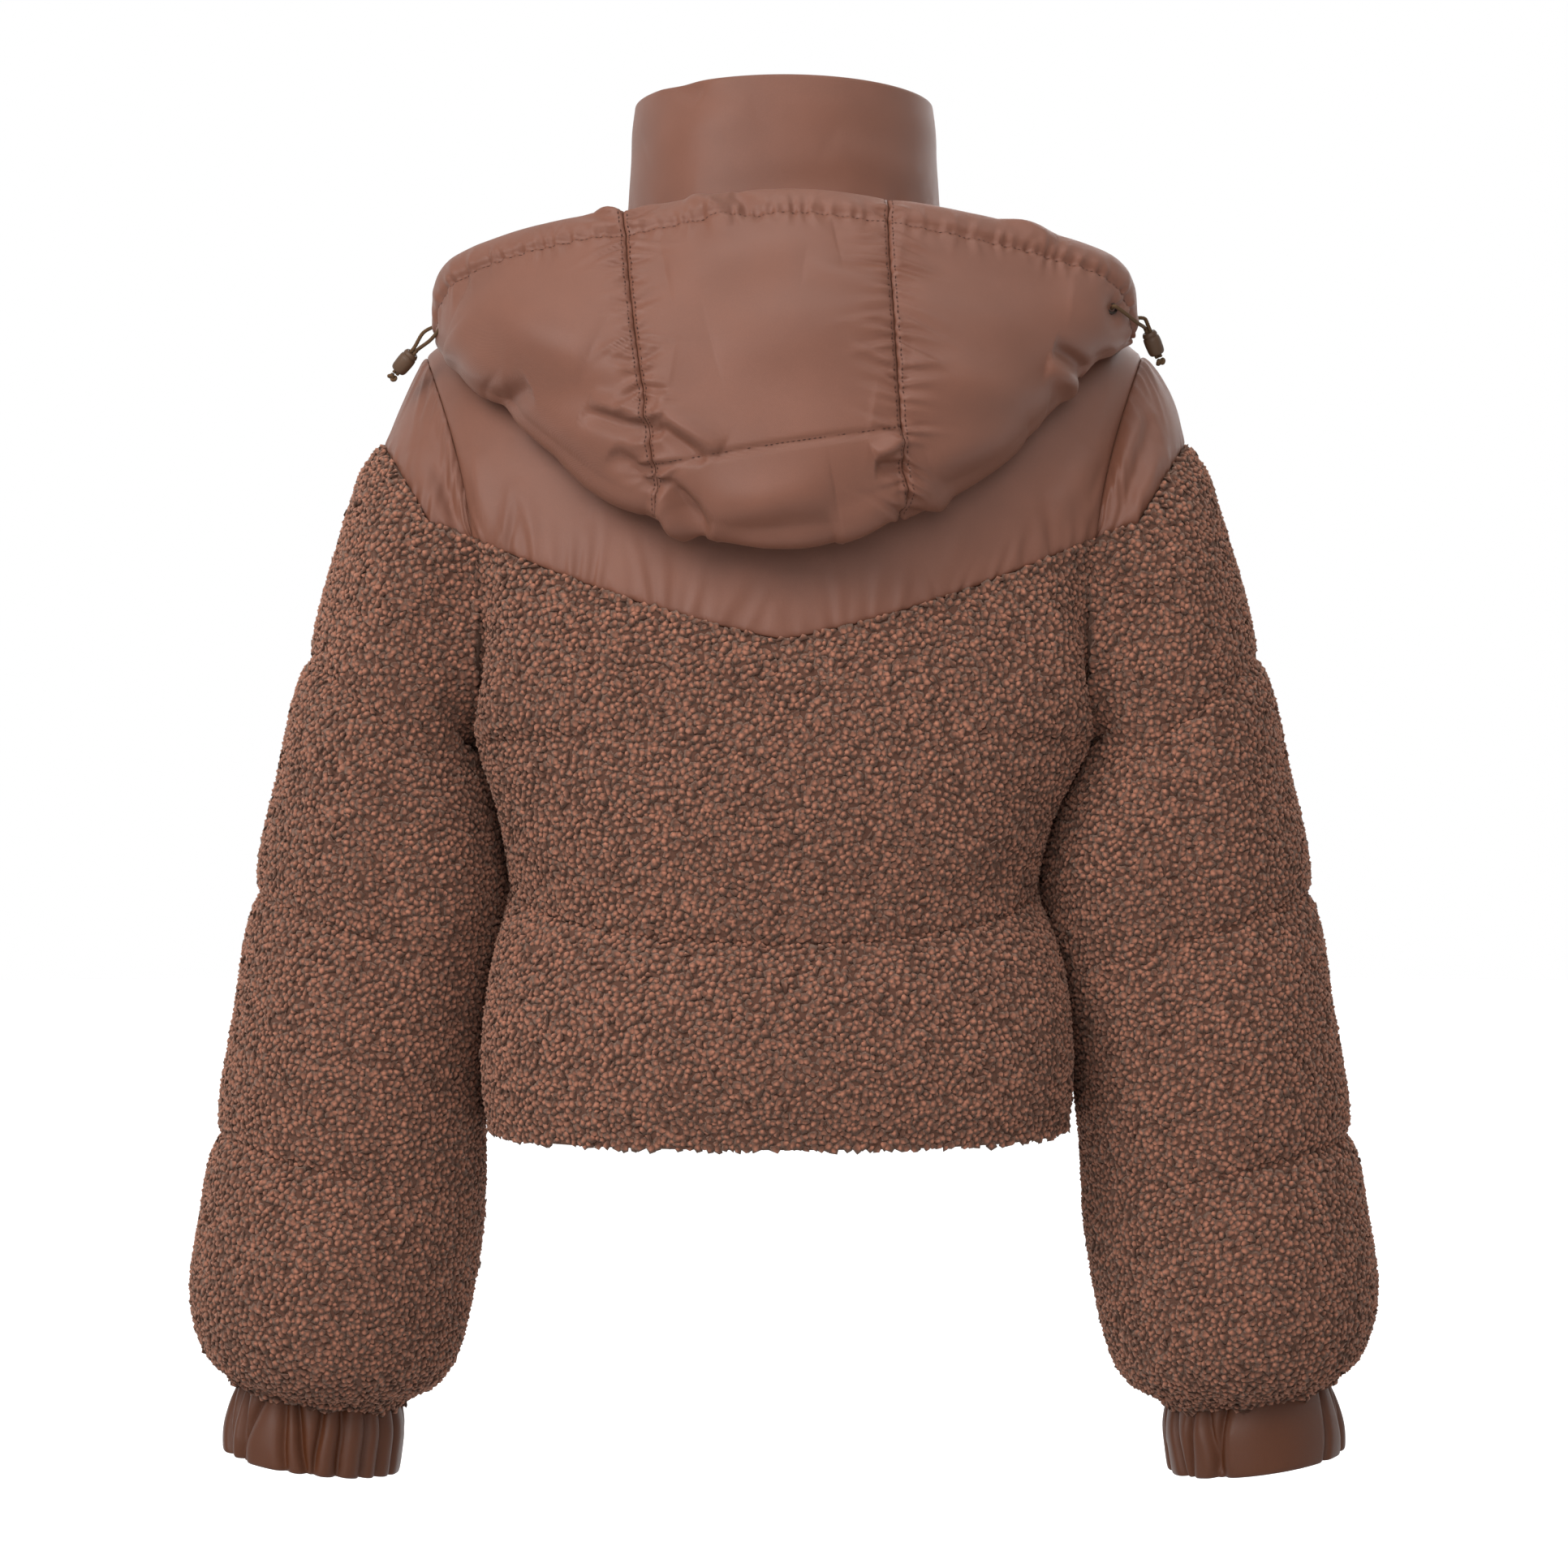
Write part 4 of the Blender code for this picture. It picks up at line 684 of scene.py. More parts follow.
def collar_point(row: Array, column: Array) -> Array:
    """Return points of the collar, neck seam to top edge, round from the right of the zip to its left.

    Args:
        row: Row numbers.
        column: Column numbers.

    Returns:
        The points.
    """
    side = np.where(column <= COLLAR_COLUMNS / 2, 1.0, -1.0)
    facing = np.where((column <= QUARTER) | (column > 3 * QUARTER), 1.0, -1.0)
    from_front = QUARTER - np.abs(np.abs(column - 2 * QUARTER) - QUARTER)
    share = from_front / QUARTER
    angle = np.radians(90.0) * share
    opening = np.where(facing > 0.0, ZIP_HALF_OPENING, 0.0)
    lift = np.where(facing > 0.0, COLLAR_FRONT_RISE, COLLAR_BACK_RISE)
    top = stack(side * (opening + (COLLAR_TOP_HALF_WIDTH - opening) * np.sin(angle)),
                facing * COLLAR_TOP_DEPTH * np.cos(angle),
                COLLAR_SIDE_TOP_Z + lift * np.maximum(np.cos(angle), 0.0) ** 1.5)
    foot = neck_point(share, side, facing)
    return foot + (top - foot) * (row / COLLAR_ROWS)[..., None]


# ------------------------------------------------------------------ surfaces, panels and folds

@dataclass
class Surface:
    """A plain inner surface that panels are cut from.

    Attributes:
        place: Gives points for grids of row and column numbers.
        rows: The last row's number.
        columns: The last column's number, or how many columns go round a closed surface.
        middle: A point on the hollow side.
        closed: Whether the columns go all round.
        outward: The outward direction at each whole row and column.
    """

    place: Callable[[Array, Array], Array]
    rows: int
    columns: int
    middle: Sequence[float]
    closed: bool = False
    outward: Array = field(init=False)

    def grid(self, rows: Array, columns: Array) -> Array:
        """Return the points at each row and column."""
        return self.place(*np.meshgrid(rows, columns, indexing="ij"))

    def whole(self) -> Array:
        """Return the points at the whole rows and columns."""
        last = self.columns if self.closed else self.columns + 1
        return self.grid(np.arange(self.rows + 1.0), np.arange(float(last)))

    def own_outward(self) -> Array:
        """Return the outward direction at each whole point, weighted by the cells round it.

        Returns:
            The directions, not yet of unit length.
        """
        points = self.whole()
        if self.closed:
            points = np.concatenate([points, points[:, :1]], axis=1)
        normal = np.cross(points[1:, 1:] - points[:-1, :-1], points[1:, :-1] - points[:-1, 1:])
        row, column = points.shape[0] // 2 - 1, points.shape[1] // 3
        if normal[row, column] @ (points[row + 1, column] - np.asarray(self.middle)) < 0.0:
            normal = -normal
        total = np.zeros_like(points)
        for down in (0, 1):
            for over in (0, 1):
                rows, columns = normal.shape[:2]
                total[down:rows + down, over:columns + over] += normal
        if self.closed:
            total[:, 0] += total[:, -1]
            total = total[:, :-1]
        return total

    def outward_at(self, rows: Array, columns: Array) -> Array:
        """Return the outward directions at each row and column.

        Args:
            rows: Row numbers.
            columns: Column numbers.

        Returns:
            A grid of directions.
        """
        down = spline_weights(self.outward.shape[0], rows, False)
        over = spline_weights(self.outward.shape[1], columns, self.closed)
        return unit(np.einsum("ri,ijk,cj->rck", down, self.outward, over))


@dataclass
class GridSurface(Surface):
    """A surface held as a grid of points, read smoothly between them."""

    points: Array = field(default=None)

    def grid(self, rows: Array, columns: Array) -> Array:
        """Return the points at each row and column.

        Args:
            rows: Row numbers.
            columns: Column numbers.

        Returns:
            A grid of points.
        """
        down = spline_weights(self.points.shape[0], rows, False)
        over = spline_weights(self.points.shape[1], columns, False)
        return np.einsum("ri,ijk,cj->rck", down, self.points, over)


def join_outward(surfaces: Sequence[Surface]) -> None:
    """Work out outward directions, shared wherever two surfaces have a point in common.

    Args:
        surfaces: The surfaces that meet.
    """
    points = [surface.whole() for surface in surfaces]
    own = [surface.own_outward() for surface in surfaces]
    every = np.concatenate([part.reshape(-1, 3) for part in points])
    normals = np.concatenate([part.reshape(-1, 3) for part in own])
    tree = point_tree(every)
    joined = np.array([normals[[hit[1] for hit in tree.find_range(point, SAME_POINT)]].sum(axis=0)
                       for point in every])
    start = 0
    for surface, part in zip(surfaces, points):
        count = part.shape[0] * part.shape[1]
        surface.outward = unit(joined[start:start + count]).reshape(part.shape)
        start += count


@dataclass
class Panel:
    """One cloth piece, sampled on a surface.

    Attributes:
        surface: The surface that it is cut from.
        rows: Its row numbers.
        columns: Its column numbers.
        height: How far its outside stands from the surface at each point.
    """

    surface: Surface
    rows: Array
    columns: Array
    height: Array = field(init=False)

    def __post_init__(self) -> None:
        """Sample the surface and measure the cloth along its rows and columns."""
        self.inside = self.surface.grid(self.rows, self.columns)
        self.outward = self.surface.outward_at(self.rows, self.columns)
        self.row, self.column = np.meshgrid(self.rows, self.columns, indexing="ij")
        up = np.linalg.norm(np.diff(self.inside, axis=0), axis=-1)
        over = np.linalg.norm(np.diff(self.inside, axis=1), axis=-1)
        self.up = np.concatenate([np.zeros_like(up[:1]), np.cumsum(up, axis=0)])
        self.over = np.concatenate([np.zeros_like(over[:, :1]), np.cumsum(over, axis=1)], axis=1)
        self.height = np.full(self.row.shape, CLOTH_AT_SEAM)

    @property
    def closed(self) -> bool:
        """Return whether the piece goes all round."""
        return self.surface.closed

    @property
    def down(self) -> Array:
        """Return each point's distance from the last row."""
        return self.up[-1:] - self.up

    @property
    def back_over(self) -> Array:
        """Return each point's distance from the last column."""
        return self.over[:, -1:] - self.over

    def edge_distance(self) -> Array:
        """Return each point's distance from the piece's nearest edge."""
        away = np.minimum(self.up, self.down)
        return away if self.closed else np.minimum(away, np.minimum(self.over, self.back_over))

    def roll_edges(self, radius: float, depth: float) -> None:
        """Round the outside in towards its edges."""
        share = np.clip(self.edge_distance() / radius, 0.0, 1.0)
        self.height -= depth * (1.0 - np.sqrt(1.0 - (1.0 - share) ** 2))

    def shifted(self) -> Array:
        """Return the inside points, drawn in by half a seam gap at the edges.

        Returns:
            A grid of points.
        """
        points = self.inside.copy()
        sides = [(np.s_[0], np.s_[1]), (np.s_[-1], np.s_[-2])]
        if not self.closed:
            sides += [(np.s_[:, 0], np.s_[:, 1]), (np.s_[:, -1], np.s_[:, -2])]
        for edge, beside in sides:
            step = self.inside[beside] - self.inside[edge]
            out = self.outward[edge]
            step = step - out * (step * out).sum(axis=-1, keepdims=True)
            points[edge] += unit(step) * SEAM_HALF_GAP
        return points

    def outside(self) -> Array:
        """Return the points of the piece's outside."""
        return self.shifted() + self.outward * self.height[..., None]

    def contour(self, away: Array, level: float, down_rows: bool) -> Array:
        """Find where a distance reaches a level in every column, or in every row.

        Args:
            away: The distance at each point.
            level: The distance wanted.
            down_rows: Whether to look down the rows of each column.

        Returns:
            A line of points on the outside, each followed by its outward direction.
        """
        lines = np.concatenate([self.outside(), self.outward], axis=-1)
        if down_rows:
            lines, away = lines.swapaxes(0, 1), away.T
        found = []
        for line, values in zip(lines, away):
            order = np.argsort(values, kind="stable")
            found.append([np.interp(level, values[order], part) for part in line[order].T])
        return np.array(found)

    def build(self, name: str, finish: "Finish") -> bpy.types.Object:
        """Make the piece as a closed wall with a fine outside and a plain inside.

        Args:
            name: The piece's name.
            finish: What it is made of.

        Returns:
            The new object.
        """
        rows, columns = self.row.shape
        outer = np.arange(rows * columns).reshape(rows, columns)
        kept_rows = self.whole_places(self.rows)
        kept_columns = self.whole_places(self.columns)
        inside = self.shifted()[np.ix_(kept_rows, kept_columns)]
        inner = rows * columns + np.arange(inside.shape[0] * inside.shape[1]).reshape(inside.shape[:2])
        if self.closed:
            outer = np.concatenate([outer, outer[:, :1]], axis=1)
            inner = np.concatenate([inner, inner[:, :1]], axis=1)
            kept_columns = kept_columns + [columns]
        faces = []
        for ids in (outer, inner):
            quads = np.stack([ids[:-1, :-1], ids[:-1, 1:], ids[1:, 1:], ids[1:, :-1]], axis=-1)
            faces += quads.reshape(-1, 4).tolist()
        smooth = len(faces)
        for outer_row, inner_row in ((outer[0], inner[0]), (outer[-1], inner[-1])):
            faces += rim(outer_row, inner_row, kept_columns)
        if not self.closed:
            for outer_row, inner_row in ((outer[:, 0], inner[:, 0]), (outer[:, -1], inner[:, -1])):
                faces += rim(outer_row, inner_row, kept_rows)
        points = np.concatenate([self.outside().reshape(-1, 3), inside.reshape(-1, 3)])
        return make_piece(name, points, faces, finish, smooth)

    @staticmethod
    def whole_places(places: Array) -> list[int]:
        """Return the numbers of the first place and of every whole one."""
        whole = np.flatnonzero(np.abs(places - np.round(places)) < NEARLY_WHOLE)
        return sorted({0, *whole.tolist()})


def rim(outer: Array, inner: Array, kept: list[int]) -> list[list[int]]:
    """Return the faces that join an outer edge to a plainer inner edge."""
    return [[*outer[start:end + 1].tolist(), int(inner[index + 1]), int(inner[index])]
            for index, (start, end) in enumerate(zip(kept, kept[1:]))]


def add_object(name: str, data: bpy.types.ID) -> bpy.types.Object:
    """Add an object to the scene.

    Args:
        name: The object's name.
        data: Its mesh, camera or lamp.

    Returns:
        The new object.
    """
    thing = bpy.data.objects.new(name, data)
    bpy.context.scene.collection.objects.link(thing)
    return thing


def make_piece(name: str, points: Array, faces: list, finish: "Finish", smooth: int | None = None,
               turn_out: bool = True) -> bpy.types.Object:
    """Make a mesh object whose faces point outwards.

    Args:
        name: The object's name.
        points: Its vertices.
        faces: Its faces, the smooth ones first.
        finish: What it is made of.
        smooth: How many faces are smooth; all where it is None.
        turn_out: Whether the faces still have to be turned outwards.

    Returns:
        The new object, linked to the scene.
    """
    mesh = bpy.data.meshes.new(name)
    mesh.from_pydata(points.tolist(), [], faces)
    if turn_out:
        shape = bmesh.new()
        shape.from_mesh(mesh)
        bmesh.ops.recalc_face_normals(shape, faces=shape.faces[:])
        shape.to_mesh(mesh)
        shape.free()
    flags = np.arange(len(faces)) < (len(faces) if smooth is None else smooth)
    mesh.polygons.foreach_set("use_smooth", flags)
    mesh.materials.append(finish.material())
    piece = add_object(name, mesh)
    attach(piece, "root")
    log.info("%s: %d faces of %s", name, len(faces), finish.name)
    return piece


class Fold(NamedTuple):
    """A soft ridge, or trough below nought, between two places of the back or front view."""

    facing: Facing
    x0: float
    z0: float
    x1: float
    z1: float
    half_width: float
    height: float


def folds(facing: Facing, rows: Sequence[tuple[float, ...]]) -> list[Fold]:
    """Return folds from rows of both ends' places and half width, in metres, and height, in millimetres."""
    return [Fold(facing, *row[:5], row[5] * MM) for row in rows]


def fold_height(points: Array, facing: float, chosen: Sequence[Fold]) -> Array:
    """Add up the folds that pass near each point.

    Args:
        points: Points on the last axis.
        facing: -1 for the back, 1 for the front.
        chosen: The folds.

    Returns:
        The height at each point.
    """
    total = np.zeros(points.shape[:-1])
    flat = points[..., (0, 2)]
    for fold in chosen:
        if fold.facing.value != facing:
            continue
        start = np.array([fold.x0, fold.z0])
        run = np.array([fold.x1, fold.z1]) - start
        place = flat - start
        along = place @ run / (run @ run)
        off = np.linalg.norm(place - along[..., None] * run, axis=-1) / fold.half_width
        total += fold.height * np.exp(-off * off) * puff((along + 0.1) / 1.2)
    return total


@dataclass(frozen=True)
class Puckers:
    """Short gathers that a seam draws in the cloth beside it.

    Attributes:
        spacing: Mean distance between two gathers.
        width: Half width of a gather.
        reach: How far a gather runs from the seam.
        height: How high it stands.
    """

    spacing: float
    width: float
    reach: float
    height: float

    def at(self, along: Array, away: Array, seed: int) -> Array:
        """Return the gathers' height.

        Args:
            along: Each point's distance along the seam.
            away: Each point's distance from the seam.
            seed: Which uneven pattern.

        Returns:
            The height at each point.
        """
        source = np.random.default_rng(seed)
        total = np.zeros(along.shape)
        place, last = float(along.min()), float(along.max())
        while place < last:
            place += self.spacing * source.uniform(0.5, 1.6)
            reach = self.reach * source.uniform(0.4, 1.3)
            width = self.width * source.uniform(0.7, 1.4) * (1.0 + 0.6 * away / reach)
            lean = source.uniform(-0.4, 0.4)
            off = (along - place - lean * away) / width
            shape = np.exp(-off ** 2) - 0.55 * np.exp(-(off - source.choice((-1.5, 1.5))) ** 2)
            total += self.height * source.uniform(0.4, 1.0) * shape * np.exp(-(away / reach) ** 2)
        return total


LOWER_PUCKERS = Puckers(spacing=9 * MM, width=2.2 * MM, reach=22 * MM, height=1.4 * MM)
UPPER_PUCKERS = Puckers(spacing=11 * MM, width=2.2 * MM, reach=12 * MM, height=1.0 * MM)
SLEEVE_END_PUCKERS = Puckers(spacing=24 * MM, width=6 * MM, reach=18 * MM, height=2.4 * MM)
COLLAR_PUCKERS = Puckers(spacing=12 * MM, width=3 * MM, reach=14 * MM, height=1.2 * MM)
RIM_PUCKERS = Puckers(spacing=9 * MM, width=1.9 * MM, reach=8 * MM, height=1.9 * MM)
HOOD_SEAM_PUCKERS = Puckers(spacing=6 * MM, width=1.5 * MM, reach=17 * MM, height=2.9 * MM)


# ------------------------------------------------------------------ node groups and finishes

SHEEN_TINT = (1.0, 0.68, 0.52)


class Wiring:
    """Short calls for wiring shader nodes in one tree."""

    def __init__(self, tree: bpy.types.NodeTree) -> None:
        """Keep the tree."""
        self.tree = tree

    def node(self, kind: str, inputs: dict[str, object] | None = None, **settings: object) -> bpy.types.Node:
        """Add a node.

        Args:
            kind: The node's type without its Shader prefix.
            inputs: Values or output sockets for its inputs, by name or number.
            settings: Its own properties.

        Returns:
            The new node.
        """
        node = self.tree.nodes.new(f"ShaderNode{kind}")
        for name, value in settings.items():
            setattr(node, name, value)
        for name, value in (inputs or {}).items():
            if isinstance(value, bpy.types.NodeSocket):
                self.tree.links.new(value, node.inputs[name])
            else:
                node.inputs[name].default_value = value
        return node

    def calculate(self, operation: str, first: object, second: object = 0.0) -> bpy.types.NodeSocket:
        """Return the output of a Math node."""
        return self.node("Math", {0: first, 1: second}, operation=operation).outputs[0]

    def mix(self, share: object, first: object, second: object) -> bpy.types.NodeSocket:
        """Return the output of a colour Mix node."""
        return self.node("Mix", {0: share, 6: first, 7: second}, data_type="RGBA").outputs[2]

    def half_each(self, first: object, second: object) -> bpy.types.NodeSocket:
        """Return the mean of two values."""
        return self.calculate("ADD", *(self.calculate("MULTIPLY", value, 0.5) for value in (first, second)))

    def place(self) -> bpy.types.NodeSocket:
        """Return the place on the object."""
        return self.node("TexCoord").outputs["Object"]

    def noise(self, scale: object, detail: float, roughness: float = 0.5) -> bpy.types.NodeSocket:
        """Return a noise texture's value."""
        wanted = {"Vector": self.place(), "Scale": scale, "Detail": detail, "Roughness": roughness}
        return self.node("TexNoise", wanted).outputs["Fac"]

    def mottle(self, **sizes: float) -> bpy.types.NodeSocket:
        """Return the mottle group's tone."""
        return self.node("Group", sizes, node_tree=mottle_group()).outputs["Tone"]

    def feed(self, value: bpy.types.NodeSocket, target: bpy.types.NodeSocket) -> None:
        """Link an output to an input."""
        self.tree.links.new(value, target)

    def spread(self, value: object, low: float, high: float, to_low: float = 0.0,
               to_high: float = 1.0) -> bpy.types.NodeSocket:
        """Return a value mapped smoothly from one range to another."""
        wanted = {0: value, 1: low, 2: high, 3: to_low, 4: to_high}
        return self.node("MapRange", wanted, interpolation_type="SMOOTHSTEP").outputs[0]


def group_tree(name: str, inputs: dict[str, float],
               outputs: Sequence[str]) -> tuple[Wiring, dict[str, bpy.types.NodeSocket], bpy.types.Node]:
    """Start a shader node group.

    Args:
        name: The group's name.
        inputs: Its value inputs and their defaults.
        outputs: Its value outputs.

    Returns:
        Its wiring, its input sockets by name, and its output node.
    """
    tree = bpy.data.node_groups.new(name, "ShaderNodeTree")
    for label, value in inputs.items():
        socket = tree.interface.new_socket(name=label, in_out="INPUT", socket_type="NodeSocketFloat")
        socket.default_value = value
    for label in outputs:
        tree.interface.new_socket(name=label, in_out="OUTPUT", socket_type="NodeSocketFloat")
    wiring = Wiring(tree)
    start = tree.nodes.new("NodeGroupInput")
    return wiring, {label: start.outputs[label] for label in inputs}, tree.nodes.new("NodeGroupOutput")


def weave_group() -> bpy.types.NodeTree:
    """Return the fine weave: threads both ways and slight unevenness, as heights and a tone.

    Returns:
        The node group.
    """
    found = bpy.data.node_groups.get("fine_weave")
    if found:
        return found
    wiring, given, end = group_tree("fine_weave", {"Threads": 1400.0, "Slub": 0.5}, ("Height", "Tone"))
    wave = {"Vector": wiring.place(), "Scale": given["Threads"], "Distortion": 1.0, "Detail": 1.0}
    warp = wiring.node("TexWave", wave, bands_direction="DIAGONAL").outputs["Fac"]
    slub = wiring.noise(given["Threads"], 3.0)
    uneven = wiring.calculate("MULTIPLY", slub, given["Slub"])
    wiring.feed(wiring.calculate("ADD", uneven, warp), end.inputs["Height"])
    wiring.feed(wiring.half_each(slub, wiring.noise(24.0, 3.0)), end.inputs["Tone"])
    return wiring.tree


def mottle_group() -> bpy.types.NodeTree:
    """Return the uneven tone of cloth: broad and middling clouds, as one value near a half.

    Returns:
        The node group.
    """
    found = bpy.data.node_groups.get("mottle")
    if found:
        return found
    wiring, given, end = group_tree("mottle", {"Broad": 9.0, "Middling": 60.0}, ("Tone",))
    wiring.feed(wiring.half_each(*(wiring.noise(size, 3.0) for size in given.values())), end.inputs["Tone"])
    return wiring.tree


@dataclass(frozen=True)
class Finish:
    """A material and a slot name.

    Attributes:
        name: The material's name.
        slot: A slot name; not used.
        colour: Its main colour.
        roughness: Its roughness.
        metallic: 1 for a metal.
        sheen: How much light its fibres catch at a glance.
        grain: How deep its fine relief is, in metres.
        gloss: How strongly its surface reflects; a half is plain plastic.
    """

    name: str
    slot: str
    colour: tuple[float, float, float]
    roughness: float = 0.8
    metallic: float = 0.0
    sheen: float = 0.0
    grain: float = 0.1 * MM
    gloss: float = 0.3

    def material(self) -> bpy.types.Material:
        """Return the material, built the first time.

        Returns:
            The material.
        """
        found = bpy.data.materials.get(self.name)
        if found:
            return found
        material = bpy.data.materials.new(self.name)
        material.use_nodes = True
        inputs = material.node_tree.nodes["Principled BSDF"].inputs
        for name, value in (("Metallic", self.metallic), ("Roughness", self.roughness),
                            ("Sheen Weight", self.sheen), ("Sheen Roughness", 0.5),
                            ("Sheen Tint", (*SHEEN_TINT, 1.0)), ("Specular IOR Level", self.gloss)):
            inputs[name].default_value = value
        wiring = Wiring(material.node_tree)
        colour, height = self.surface(wiring)
        wiring.feed(colour, inputs["Base Color"])
        bump = wiring.node("Bump", {"Height": height, "Distance": self.grain, "Strength": 1.0})
        wiring.feed(bump.outputs[0], inputs["Normal"])
        return material

    def tones(self, low: float, high: float) -> tuple[tuple, tuple]:
        """Return a darker and a lighter tone of the colour."""
        return tuple((*(part * share for part in self.colour), 1.0) for share in (low, high))

    def surface(self, wiring: Wiring) -> tuple[bpy.types.NodeSocket, bpy.types.NodeSocket]:
        """Wire the colour and the fine relief.

        Args:
            wiring: The material's wiring.

        Returns:
            The colour and the height.
        """
        colour = wiring.mix(wiring.spread(wiring.mottle(), 0.3, 0.7), *self.tones(0.85, 1.15))
        return colour, wiring.noise(900.0, 3.0)

    @staticmethod
    def finish_piece(piece: bpy.types.Object, node: str) -> None:
        """Let a piece stand for its solid."""
        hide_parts(node)


@dataclass(frozen=True)
class Nylon(Finish):
    """Smooth nylon that puckers beside its seams."""

    def surface(self, wiring: Wiring) -> tuple[bpy.types.NodeSocket, bpy.types.NodeSocket]:
        """Wire the colour and the weave.

        Args:
            wiring: The material's wiring.

        Returns:
            The colour and the height.
        """
        weave = wiring.node("Group", {}, node_tree=weave_group())
        share = wiring.half_each(weave.outputs["Tone"], wiring.mottle(Broad=5.0, Middling=30.0))
        colour = wiring.mix(wiring.spread(share, 0.35, 0.65), *self.tones(0.90, 1.10))
        return colour, weave.outputs["Height"]

    def dress(self, panel: Panel, seed: int) -> None:
        """Add puckers and rolled edges.

        Args:
            panel: The panel, with its height set.
            seed: Which uneven pattern.
        """
        panel.roll_edges(radius=5.0 * MM, depth=2.0 * MM)
        panel.height += LOWER_PUCKERS.at(panel.over, panel.up, seed)
        panel.height += UPPER_PUCKERS.at(panel.over, panel.down, seed + 1)

    def cut(self, panel: Panel, node: str) -> None:
        """Build a panel, with its height set, and let it stand for its solid."""
        self.finish_piece(panel.build(f"{node}_cloth", self), node)


CURL_SIDES = 5
CURL_LEAN = 0.3
CURL_SIZES = (0.85, 1.2)
CURL_REACHES = (0.8, 1.15)
CURL_SINK = 0.15
CURL_TOP_SHIFT = 0.2
CURL_TONE = 0.12


